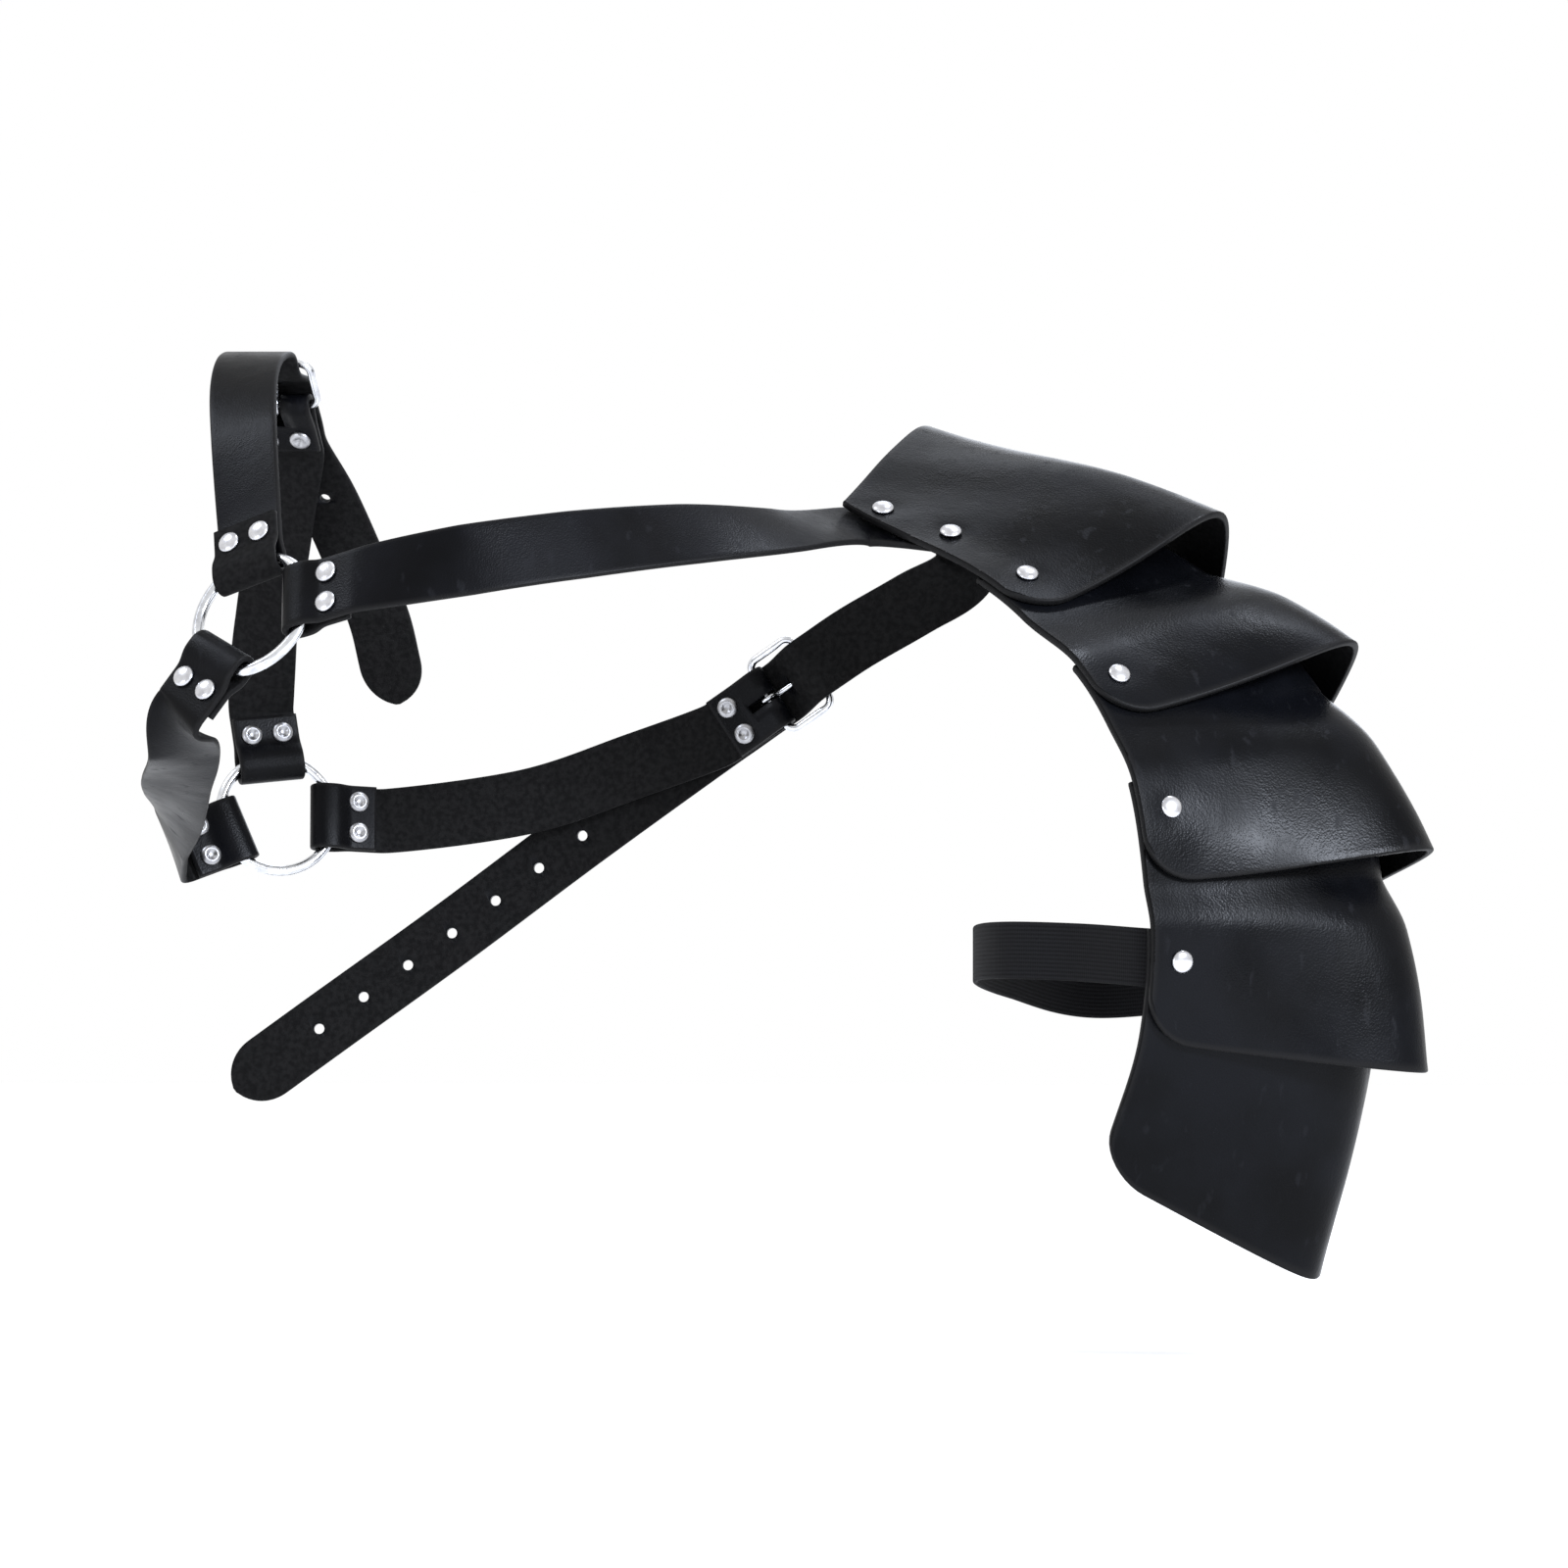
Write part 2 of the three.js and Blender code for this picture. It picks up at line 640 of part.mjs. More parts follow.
function billetRows(buckle) {
  const under = -(BUCKLE_BAR / 2 + 2 * SEAT_GAP + STRAP_LEATHER / 2);
  const over = BUCKLE_BAR / 2 + 1.5 * STRAP_LEATHER + 3 * SEAT_GAP;
  const overCaps = closeLift + STRAP_LEATHER + SEAT_GAP + CAP_HEIGHT + 2 * LAYER_GAP;
  const rows = [
    [BUCKLE_LENGTH + BAR_APPROACH.outside, under],
    [BUCKLE_LENGTH - BAR_APPROACH.inside, under],
    [BAR_APPROACH.outside, over],
    [0, over],
    [-BUCKLE_RIVET_REACH, overCaps],
    [-BUCKLE_FLAP_REACH - BAR_APPROACH.clear, overCaps],
  ];
  return rows.map(([along, face]) => ({ place: buckle.at(along, 0, face), face: buckle.face }));
}

const heelAnchor = (buckle) => ({
  centre: buckle.centre,
  along: buckle.along.clone().negate(),
  face: buckle.face,
});

// Slot for the prong's eye in the fold, and the way of the prong's pin through the billet
function prongSlot(buckle) {
  const reach = BUCKLE_BAR + PRONG_WIRE + 2 * SEAT_GAP + STRAP_LEATHER;
  const slot = new THREE.BoxGeometry(2 * reach, PRONG_WIRE + 4 * SEAT_GAP, 2 * reach);
  const turn = new THREE.Matrix4().makeBasis(buckle.along, buckle.side, buckle.face).setPosition(buckle.centre);
  return solidOfGeometry(slot.applyMatrix4(turn));
}

const pinLift = BUCKLE_BAR / 2 + SEAT_GAP + PRONG_WIRE / 2;

function pinWay(buckle) {
  const length = BUCKLE_LENGTH + BAR_APPROACH.outside;
  const middle = buckle.at(length / 2 - BAR_APPROACH.inside, 0, pinLift);
  return rodSolid(middle, buckle.along, PRONG_WIRE / 2 + SEAT_GAP, length);
}

function frameSolid(buckle) {
  const halfLength = BUCKLE_LENGTH / 2;
  const halfWidth = (BUCKLE_INNER_WIDTH + BUCKLE_BAR) / 2;
  const corners = [[1, 1], [-1, 1], [-1, -1], [1, -1]];
  const path = [];
  corners.forEach(([a, b], i) => {
    for (let k = 0; k <= 2; k += 1) {
      const angle = (i + k / 2) * Math.PI / 2;
      path.push([
        halfLength + a * (halfLength - BUCKLE_CORNER) + BUCKLE_CORNER * Math.cos(angle),
        b * (halfWidth - BUCKLE_CORNER) + BUCKLE_CORNER * Math.sin(angle),
        angle,
      ]);
    }
  });
  const sides = PIN_SIDES;
  const points = [];
  path.forEach(([along, side, angle]) => {
    for (let k = 0; k < sides; k += 1) {
      const turn = (k / sides) * 2 * Math.PI;
      const out = (BUCKLE_BAR / 2) * Math.cos(turn);
      const lift = (BUCKLE_BAR / 2) * Math.sin(turn);
      points.push(buckle.at(along + out * Math.cos(angle), side + out * Math.sin(angle), lift));
    }
  });
  const faces = [];
  for (let i = 0; i < path.length; i += 1) {
    for (let k = 0; k < sides; k += 1) {
      const next = (i + 1) % path.length;
      const a = i * sides + k;
      const b = i * sides + (k + 1) % sides;
      const c = next * sides + (k + 1) % sides;
      const d = next * sides + k;
      faces.push([a, b, c], [a, c, d]);
    }
  }
  return solidOf(points, faces);
}

function prongSolid(buckle) {
  const eyeRadius = BUCKLE_BAR / 2 + SEAT_GAP + PRONG_WIRE / 2;
  const eye = new THREE.TorusGeometry(eyeRadius, PRONG_WIRE / 2, PIN_SIDES, 2 * PIN_SIDES);
  eye.rotateX(Math.PI / 2);
  const length = BUCKLE_LENGTH + BUCKLE_BAR / 2 + 1;
  const eyeSolid = solidOfGeometry(standing(eye, buckle.centre, buckle.side));
  return eyeSolid.add(rodSolid(buckle.at(length / 2, 0, pinLift), buckle.along, PRONG_WIRE / 2, length, PIN_SIDES));
}

Object.entries(BUCKLES).forEach(([name, buckle]) => {
  addPiece(`${name}_buckle_frame`, frameSolid(buckle), nickel());
  addPiece(`${name}_buckle_prong`, prongSolid(buckle), nickel());
});

// A tail ends in a rounded point: shares of the tip's length and of the strap's width
const TIP_SHAPE = [
  { reach: 0.35, width: 0.9 },
  { reach: 0.65, width: 0.72 },
  { reach: 0.88, width: 0.45 },
  { reach: 1, width: 0.18 },
];

function withTip(stations) {
  const tip = [...stations];
  const end = tip[tip.length - 1];
  const along = end.place.clone().sub(tip[tip.length - 2].place).normalize();
  TIP_SHAPE.forEach(({ reach, width }) => {
    const place = end.place.clone().addScaledVector(along, reach * TIP_LENGTH);
    tip.push({ place, side: end.side, share: width });
  });
  return tip;
}

// Punched holes in a tail, counted back from its tip
function tailHoles(stations, { first, count }) {
  const holes = [];
  let reach = 0;
  for (let i = stations.length - 1; i > 0; i -= 1) {
    const here = stations[i];
    const next = stations[i - 1];
    const step = here.place.distanceTo(next.place);
    const along = next.place.clone().sub(here.place).normalize();
    const face = next.side.clone().cross(along).normalize();
    let wanted = first + holes.length * TAIL_HOLE_PITCH;
    while (holes.length < count && wanted <= reach + step) {
      const centre = mix(here.place, next.place, (wanted - reach) / step);
      holes.push(rodSolid(centre, face, TAIL_HOLE_RADIUS, 3 * STRAP_LEATHER));
      wanted += TAIL_HOLE_PITCH;
    }
    reach += step;
  }
  return holes;
}

const cutAll = (solid, cutters) => cutters.reduce((left, cutter) => left.subtract(cutter), solid);
const strapSolid = (stations) => ribbonSolid(stations, STRAP_WIDTH, STRAP_LEATHER);

// Where each strap leaves its ring
const anchors = {
  shoulder: ringAnchor(RINGS.front, 109, 1),
  chest: ringAnchor(RINGS.front, 14.5, 1),
  underFront: ringAnchor(RINGS.front, 242.5, 1),
  rise: ringAnchor(RINGS.back, 96.5, -1),
  back: ringAnchor(RINGS.back, 357.5, -1),
  underBack: ringAnchor(RINGS.back, 201, -1),
};
const wireFold = ringFold();
const heelFold = barFold();

// A strap that is folded and riveted round something at both ends
function foldedStations(start, startFold, route, end, endFold) {
  return [
    ...foldStations(start, startFold, -1),
    ...freeStations([
      ...leaveRows(start, startFold, -1),
      ...route.map(harnessRow),
      ...leaveRows(end, endFold, -1).reverse(),
    ]).slice(1, -1),
    ...reversed(foldStations(end, endFold, -1)),
  ];
}

// Shoulder strap: front ring, over the shoulder, through its buckle and down to a free tail
function shoulderStrap() {
  const stations = withTip([
    ...foldStations(anchors.shoulder, wireFold, 1),
    ...freeStations([
      ...leaveRows(anchors.shoulder, wireFold, 1),
      ...ROUTES.shoulder.map(harnessRow),
      ...billetRows(BUCKLES.shoulder),
      ...ROUTES.shortTail.map(harnessRow),
    ]).slice(1),
  ]);
  foldRivets("shoulder_ring_rivet", "shoulder_strap", anchors.shoulder, wireFold);
  return cutAll(strapSolid(stations), [pinWay(BUCKLES.shoulder), ...tailHoles(stations, SHORT_TAIL_HOLES)]);
}

// Rear strap: from the back ring up to the heel bar of the shoulder buckle
function rearStrap() {
  const heel = heelAnchor(BUCKLES.shoulder);
  foldRivets("rear_ring_rivet", "rear_strap", anchors.rise, wireFold);
  foldRivets("shoulder_buckle_rivet", "rear_strap", heel, heelFold);
  const stations = foldedStations(anchors.rise, wireFold, ROUTES.rise, heel, heelFold);
  return strapSolid(stations).subtract(prongSlot(BUCKLES.shoulder));
}

// Side strap: from the front ring under the arm to the back ring
function sideStrap() {
  foldRivets("side_front_rivet", "side_strap", anchors.underFront, wireFold);
  foldRivets("side_back_rivet", "side_strap", anchors.underBack, wireFold);
  return strapSolid(foldedStations(anchors.underFront, wireFold, ROUTES.under, anchors.underBack, wireFold));
}

// Chest strap: from the front ring to the front edge of the first lame
const CHEST_SEAT = [[0.11, -1, 0.9], [0.28, -0.87, 0.1], [0.48, -0.72]];

function chestStrap() {
  foldRivets("chest_ring_rivet", "chest_strap", anchors.chest, wireFold);
  return strapSolid([
    ...foldStations(anchors.chest, wireFold, -1),
    ...freeStations([
      ...leaveRows(anchors.chest, wireFold, -1),
      ...ROUTES.chest.map(harnessRow),
      ...CHEST_SEAT.map(underLame),
    ]).slice(1),
  ]);
}

// Back strap: from the back ring to the heel bar of the back buckle
function backStrap() {
  const heel = heelAnchor(BUCKLES.back);
  foldRivets("back_ring_rivet", "back_strap", anchors.back, wireFold);
  foldRivets("back_buckle_rivet", "back_strap", heel, heelFold);
  const stations = foldedStations(anchors.back, wireFold, ROUTES.back, heel, heelFold);
  return strapSolid(stations).subtract(prongSlot(BUCKLES.back));
}

// Billet: from the back edge of the first lame through the back buckle to a long free tail with holes
const BILLET_SEAT = [[0.58, 0.83], [0.3, 0.84], [0.03, 0.85]];
const BILLET_LEAD = 9;

function backBillet() {
  const seat = BILLET_SEAT.map(underLame);
  const rim = seat[seat.length - 1];
  const leave = rim.place.clone().sub(seat[seat.length - 2].place).setLength(BILLET_LEAD);
  const lead = { place: rim.place.clone().add(leave).addScaledVector(rim.face, -STRAP_LEATHER), face: rim.face };
  const stations = withTip(freeStations([
    ...seat,
    lead,
    ...ROUTES.billet.map(harnessRow).reverse(),
    ...billetRows(BUCKLES.back),
    ...ROUTES.longTail.map(harnessRow),
  ]));
  return cutAll(strapSolid(stations), [pinWay(BUCKLES.back), ...tailHoles(stations, LONG_TAIL_HOLES)]);
}

addBlank("shoulder_strap", shoulderStrap(), blackLeather());
addBlank("rear_strap", rearStrap(), blackLeather());
addBlank("side_strap", sideStrap(), blackLeather());
addBlank("chest_strap", chestStrap(), blackLeather());
addBlank("back_strap", backStrap(), blackLeather());
addBlank("back_billet", backBillet(), blackLeather());

// Elastic arm band: from the lowest front joint round the arm to the lowest back joint
const BAND_ROUTE = [
  [0.04, -0.5, -0.835, -0.4, -1, 0],
  [-0.04, -0.42, -0.83, -0.8, -0.7, 0],
  [-0.09, -0.15, -0.835, -1, -0.1, 0],
  [-0.075, 0.18, -0.86, -0.9, 0.5, 0],
  [0.0, 0.45, -0.895, -0.5, 0.9, 0],
];

function bandEnd(sign) {
  const seat = bandSeat(sign);
  const toEdge = skinPoint(seat.t, seat.v).sub(skinPoint(seat.t, seat.v * 0.8)).normalize();
  return [-BAND_WIDTH / 2, 0, BAND_WIDTH / 2].map((reach) => ({
    place: seat.place.clone().addScaledVector(toEdge, reach),
    face: seat.face,
  }));
}

addBlank(
  "arm_band",
  ribbonSolid(
    freeStations([...bandEnd(-1), ...BAND_ROUTE.map(harnessRow), ...bandEnd(1).reverse()]),
    BAND_WIDTH,
    BAND_THICKNESS,
  ),
  blackElastic(),
);

// Every rivet seats on its layers, and every layer is drilled for its rivets
const seated = rivets.map((rivet) => ({ ...rivet, seats: seatsOf(rivet) }));
blanks.forEach(({ solid, material }, name) => {
  const holes = seated.filter((rivet) => rivet.held.includes(name)).map((rivet) => {
    const [low, high] = rivet.seats;
    const middle = rivet.centre.clone().addScaledVector(rivet.axis, (low + high) / 2);
    return rodSolid(middle, rivet.axis, POST_RADIUS + HOLE_CLEARANCE, high - low, PIN_SIDES);
  });
  addPiece(name, cutAll(solid, holes), material);
});
seated.forEach((rivet) => addPiece(rivet.name, rivetSolid(rivet, rivet.seats), nickel()));

export default pauldron;
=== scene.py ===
# Black leather pauldron for the left shoulder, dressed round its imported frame.
# Metres, +Z up, -Y to the wearer's front, +X outward from the left shoulder.
import math

import bpy
import numpy as np
from mathutils import Matrix, Vector


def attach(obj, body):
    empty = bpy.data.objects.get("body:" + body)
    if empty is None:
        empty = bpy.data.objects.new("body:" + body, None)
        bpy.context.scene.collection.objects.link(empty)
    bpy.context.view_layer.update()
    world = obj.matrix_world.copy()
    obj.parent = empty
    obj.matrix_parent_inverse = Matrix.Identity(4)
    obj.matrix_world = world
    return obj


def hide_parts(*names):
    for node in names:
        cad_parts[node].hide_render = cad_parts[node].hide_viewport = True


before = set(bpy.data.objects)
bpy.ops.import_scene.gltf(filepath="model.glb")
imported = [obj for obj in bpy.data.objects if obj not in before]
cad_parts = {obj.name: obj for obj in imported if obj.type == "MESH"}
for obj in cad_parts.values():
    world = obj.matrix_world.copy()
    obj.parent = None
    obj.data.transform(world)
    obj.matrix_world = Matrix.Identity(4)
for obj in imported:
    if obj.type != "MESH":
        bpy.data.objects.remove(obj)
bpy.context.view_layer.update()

# Studio: a pale floor under the pauldron, a pale surround and large soft lamps.
# The camera stands a little to the left of the wearer's shoulder, just below the height of the ridge.
scene = bpy.context.scene
scene.view_settings.view_transform = "Standard"
CAMERA_PLACE = Vector((0.27189, -1.7743, -0.19879))
CAMERA_AIM = Vector((-0.10184, -0.01604, -0.10458))
CAMERA_SENSOR = 36
CAMERA_LENS = 114.1
FLOOR_HEIGHT = -0.31
FLOOR_REACH = 12
FLOOR_GREY = (0.93, 0.93, 0.93, 1)
WHITE = (1, 1, 1, 1)
LAMP_COLOUR = (0.82, 0.88, 1)
LAMP_AIM = Vector((-0.05, 0, -0.1))


def facing(place, aim):
    return (aim - place).to_track_quat("-Z", "Y").to_euler()


def set_inputs(node, values):
    for socket, value in values.items():
        node.inputs[socket].default_value = value
    return node


def new_material(name, constants):
    """A material with its nodes and links, and its shader with the given constants."""
    material = bpy.data.materials.new(name)
    material.use_nodes = True
    nodes = material.node_tree.nodes
    return material, nodes, material.node_tree.links, set_inputs(nodes["Principled BSDF"], constants)


camera = bpy.data.objects.new("camera", bpy.data.cameras.new("camera"))
camera.data.sensor_width = CAMERA_SENSOR
camera.data.lens = CAMERA_LENS
camera.location = CAMERA_PLACE
camera.rotation_euler = facing(CAMERA_PLACE, CAMERA_AIM)
scene.collection.objects.link(camera)
scene.camera = camera

LAMPS = {
    "ridge_lamp": {"place": (-0.2, 0.8, 1.4), "size": 0.5, "power": 1.8},
    "chest_lamp": {"place": (0.5, 0.26, 1.86), "size": 0.2, "power": 11},
    "strap_lamp": {"place": (-1.2, -0.4, 1.2), "size": 0.5, "power": 7},
    "front_lamp": {"place": (1, -0.95, 0.42), "size": 0.32, "power": 27},
    "low_lamp": {"place": (-1.1, -1.6, -0.15), "size": 0.5, "power": 5},
    "back_lamp": {"place": (-0.2, 1.7, 0.7), "size": 1.2, "power": 8},
}
for name, lamp in LAMPS.items():
    light = bpy.data.lights.new(name, "AREA")
    light.size = lamp["size"]
    light.energy = lamp["power"]
    light.color = LAMP_COLOUR
    light_object = bpy.data.objects.new(name, light)
    light_object.location = lamp["place"]
    light_object.rotation_euler = facing(Vector(lamp["place"]), LAMP_AIM)
    scene.collection.objects.link(light_object)

world = bpy.data.worlds.new("pale_surround")
world.use_nodes = True
set_inputs(world.node_tree.nodes["Background"], {"Color": WHITE, "Strength": 1})
scene.world = world

floor_look = {"Base Color": FLOOR_GREY, "Roughness": 0.9}
floor_look.update({"Emission Color": WHITE, "Emission Strength": 0.08})
floor_mesh = bpy.data.meshes.new("floor")
corners = ((-1, -1), (1, -1), (1, 1), (-1, 1))
corner_places = [(x * FLOOR_REACH, y * FLOOR_REACH, FLOOR_HEIGHT) for x, y in corners]
floor_mesh.from_pydata(corner_places, [], [(0, 1, 2, 3)])
floor_mesh.materials.append(new_material("pale_floor", floor_look)[0])
floor = bpy.data.objects.new("floor", floor_mesh)
scene.collection.objects.link(floor)

# Lames: five arched plates of 2.6 mm black leather, wet formed over the shoulder.
# Each laps over the next and flares off it along the ridge; its rim is rounded and burnished, and its
# colour is painted lighter towards the rim as a painted highlight.
# All five follow one skin, whose rows below are the same shares of the same sizes as in the frame.
LAME_LEATHER = 2.6
SEAT_GAP = 0.35
LAYER_GAP = 0.5
RIDGE_REACH = 120
RIDGE_FALL = 280
HALF_DEPTH = 78
ARCH_DROP = 57
EDGE_SWEEP = 26
LAME_YAW = math.radians(20)
APEX_RADIUS = 12
LAME_FLARE = 20
FLARE_FOOT = 0.8
FLARE_POWER = 1.5
LAME_CORNER = 16
LAP_MARGIN = 10
SKIN_ROWS = [
    {"tilt": 16, "reach": -0.497, "fall": -0.099, "half": 0.795, "drop": 0.561, "sweep": -0.42},
    {"tilt": 19, "reach": 0.444, "fall": 0.115, "half": 0.897, "drop": 0.5, "sweep": 0.935},
    {"tilt": 36.7, "reach": 0.819, "fall": 0.274, "half": 0.974, "drop": 0.602, "sweep": 1.015},
    {"tilt": 63, "reach": 1, "fall": 0.504, "half": 1, "drop": 0.772, "sweep": 0.758},
    {"tilt": 89.4, "reach": 0.962, "fall": 0.744, "half": 0.936, "drop": 0.846, "sweep": 0.481},
    {"tilt": 104, "reach": 0.803, "fall": 1.002, "half": 0.846, "drop": 0.993, "sweep": 0.973},
]
JOINT_ROWS = [
    {"inset": 12.5, "rise": 17},
    {"inset": 10.5, "rise": 16},
    {"inset": 11, "rise": 24},
    {"inset": 10.5, "rise": 27},
]
STRAP_RIVETS = [{"along": 0.16, "inset": 7.5}, {"along": 0.45, "inset": 11.5}]
LAME_COUNT = len(SKIN_ROWS) - 1
LAP_ROWS = 26
OPEN_ROWS = 16
CORNER_COLUMNS = 11
FLANK_COLUMNS = 15
APEX_COLUMNS = 13
APEX_BAND = 2.2
NORMAL_STEP = 0.01
BROAD_RIPPLE = 0.3
FINE_RIPPLE = 0.18
RIM_ROUND = 0.8
RIM_STEPS = 5
RIM_FLESH = 0.35
# Reach in mm from the rim of the lighter rim colour: a burnished edge and a painted highlight.
BURNISH_AND_HIGHLIGHT_REACH = 3.5
RIVET_DENT = 0.6
RIVET_DENT_REACH = 5.5

outward = np.array([math.cos(LAME_YAW), -math.sin(LAME_YAW), 0])
backward = np.array([math.sin(LAME_YAW), math.cos(LAME_YAW), 0])


def skin_rows(sizes):
    return np.array([[row[key] * size for key, size in sizes.items()] for row in SKIN_ROWS])


ridge_rows = skin_rows({"reach": RIDGE_REACH, "tilt": 1, "fall": -RIDGE_FALL})
section_rows = skin_rows({"half": HALF_DEPTH, "drop": ARCH_DROP, "sweep": EDGE_SWEEP})


def curve_at(points, share):
    """Points on a smooth curve through all the given ones, evenly counted from 0 to 1."""
    points = np.asarray(points, float)
    place = np.clip(np.asarray(share, float), 0, 1) * (len(points) - 1)
    span = np.minimum(place.astype(int), len(points) - 2)
    w = (place - span)[:, None]
    ends = np.vstack([2 * points[0] - points[1], points, 2 * points[-1] - points[-2]])
    a, b, c, d = (ends[span + k] for k in range(4))
    pairs = ((a, b), (b, c), (c, d))
    before, here, after = (np.sqrt(np.linalg.norm(q - p, axis=1))[:, None] for p, q in pairs)
    leave = ((b - a) / before - (c - a) / (before + here) + (c - b) / here) * here
    reach = ((c - b) / here - (d - b) / (here + after) + (d - c) / after) * here
    bend = -3 * b + 3 * c - 2 * leave - reach
    return b + leave * w + bend * w**2 + (2 * b - 2 * c + leave + reach) * w**3


def unit(rows):
    return rows / np.linalg.norm(rows, axis=-1, keepdims=True)


def skin_line(t):
    ridge = curve_at(ridge_rows, t / LAME_COUNT)
    half, drop, sweep = curve_at(section_rows, t / LAME_COUNT).T
    tilt = np.radians(ridge[:, 1])
    place = outward * ridge[:, :1]
    place[:, 2] = ridge[:, 2]
    down = outward * np.cos(tilt)[:, None]
    down[:, 2] = -np.sin(tilt)
    out = outward * np.sin(tilt)[:, None]
    out[:, 2] = np.cos(tilt)
    return place, down, out, half, drop, sweep


def arch_share(v, half):
    rise = np.hypot(v * half, APEX_RADIUS) - APEX_RADIUS
    return rise / (np.hypot(half, APEX_RADIUS) - APEX_RADIUS)


def skin_point(t, v):
    t, v = np.atleast_1d(np.asarray(t, float)), np.atleast_1d(np.asarray(v, float))
    place, down, out, half, drop, sweep = skin_line(t)
    share = arch_share(v, half)
    return (
        place
        + backward * (half * v)[:, None]
        - out * (drop * share)[:, None]
        - down * (sweep * share)[:, None]
    )


def normal_of(surface, t, v):
    lower, upper = np.minimum(t + NORMAL_STEP, LAME_COUNT), np.maximum(t - NORMAL_STEP, 0)
    across = surface(t, v + NORMAL_STEP) - surface(t, v - NORMAL_STEP)
    return unit(np.cross(surface(lower, v) - surface(upper, v), across))


def leg_length(t):
    half, drop = curve_at(section_rows, np.atleast_1d(t) / LAME_COUNT).T[:2]
    return np.hypot(half, drop)


def side_length(lame):
    return float(np.linalg.norm(skin_point(lame, 1) - skin_point(lame - 1, 1)))


def lap_share(lame):
    return (JOINT_ROWS[min(lame, len(JOINT_ROWS)) - 1]["rise"] + LAP_MARGIN) / side_length(lame)


def lame_point(lame, t, v):
    t, v = np.atleast_1d(np.asarray(t, float)), np.atleast_1d(np.asarray(v, float))
    place = skin_point(t, v)
    if lame == LAME_COUNT:
        return place
    shown = np.clip(t - lame + 1, 0, 1)
    lifted = np.clip(shown / (1 - lap_share(lame)), 0, 1)
    lift = (LAME_LEATHER + LAYER_GAP) * lifted**2 * (3 - 2 * lifted)
    out, half = skin_line(t)[2:4]
    flare = LAME_FLARE * shown * np.maximum(0, 1 - arch_share(v, half) / FLARE_FOOT) ** FLARE_POWER
    return place + normal_of(skin_point, t, v) * lift[:, None] + out * flare[:, None]


def hand_shaped(places):
    """Millimetres that formed leather stands off a perfect curve, the same for every layer at a place."""
    x, y, z = places.T
    broad = np.sin(x / 13 + 0.7) * np.sin(z / 17 - y / 23)
    fine = np.sin(y / 7.3 + z / 9.1 + 1.9)
    return BROAD_RIPPLE * broad + FINE_RIPPLE * fine


def lame_grid(lame):
    """Rows down the lame and columns from its front edge to its back edge, with rounded lower corners."""
    start = 0 if lame == 1 else lame - 1 - lap_share(lame - 1)
    lap = lame - lap_share(lame)
    covered = np.linspace(start, lap, LAP_ROWS, endpoint=False)
    rows = np.concatenate([covered, np.linspace(lap, lame, OPEN_ROWS)])
    turns = np.linspace(0, math.pi / 2, CORNER_COLUMNS)
    columns = [(LAME_CORNER * (1 - math.cos(a)), LAME_CORNER * (1 - math.sin(a)), 0, 1) for a in turns]
    columns += [(LAME_CORNER, 0, w, 1) for w in np.linspace(0, 1, FLANK_COLUMNS)[1:]]
    columns += [(LAME_CORNER, 0, 1, f) for f in np.linspace(1, 0, APEX_COLUMNS)[1:]]
    side = side_length(lame)
    t_of, v_of = [], []
    for inset, trim, toward_ridge, of_apex in columns:
        low = lame - trim / side
        t = np.where(rows <= lap, rows, lap + (rows - lap) * (low - lap) / (lame - lap))
        half = curve_at(section_rows, t / LAME_COUNT)[:, 0]
        apex = APEX_BAND * APEX_RADIUS / half
        v = (1 - inset / leg_length(t)) * (1 - toward_ridge) + apex * toward_ridge
        t_of.append(t)
        v_of.append(v * of_apex)
    t_all = np.array(t_of + t_of[-2::-1]).T
    v_all = np.array([-v for v in v_of] + v_of[-2::-1]).T
    from_side = (1 - np.abs(v_all)) * leg_length(t_all.ravel()).reshape(t_all.shape)
    from_low = (lame - rows)[:, None] * side
    from_top = (rows - start)[:, None] * side
    edge = np.minimum(from_side, np.minimum(from_low, from_top))
    return t_all, v_all, edge


def joint_along(lame):
    return lame - JOINT_ROWS[lame - 1]["rise"] / side_length(lame)


def rivet_places(lame):
    """Where the caps of a lame's own rivets press its outer face, as pairs along and across."""
    rivets = [(r["along"], r["inset"]) for r in STRAP_RIVETS] if lame == 1 else []
    if lame < LAME_COUNT:
        rivets.append((joint_along(lame), JOINT_ROWS[lame - 1]["inset"]))
    return [(t, sign * (1 - inset / leg_length(t)[0])) for sign in (-1, 1) for t, inset in rivets]


def new_piece(name, places, faces, material, replaced, marks=()):
    """A mesh from millimetre places; marks are values for each point that its material reads."""
    mesh = bpy.data.meshes.new(name)
    mesh.from_pydata((np.asarray(places) / 1000).tolist(), [], faces)
    mesh.polygons.foreach_set("use_smooth", [True] * len(mesh.polygons))
    for mark, values in dict(marks).items():
        attribute = mesh.attributes.new(mark, "FLOAT", "POINT")
        attribute.data.foreach_set("value", np.asarray(values, np.float32))
    mesh.materials.append(material)
    mesh.update()
    piece = bpy.data.objects.new(name, mesh)
    scene.collection.objects.link(piece)
    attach(piece, "root")
    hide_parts(*replaced)
    return piece


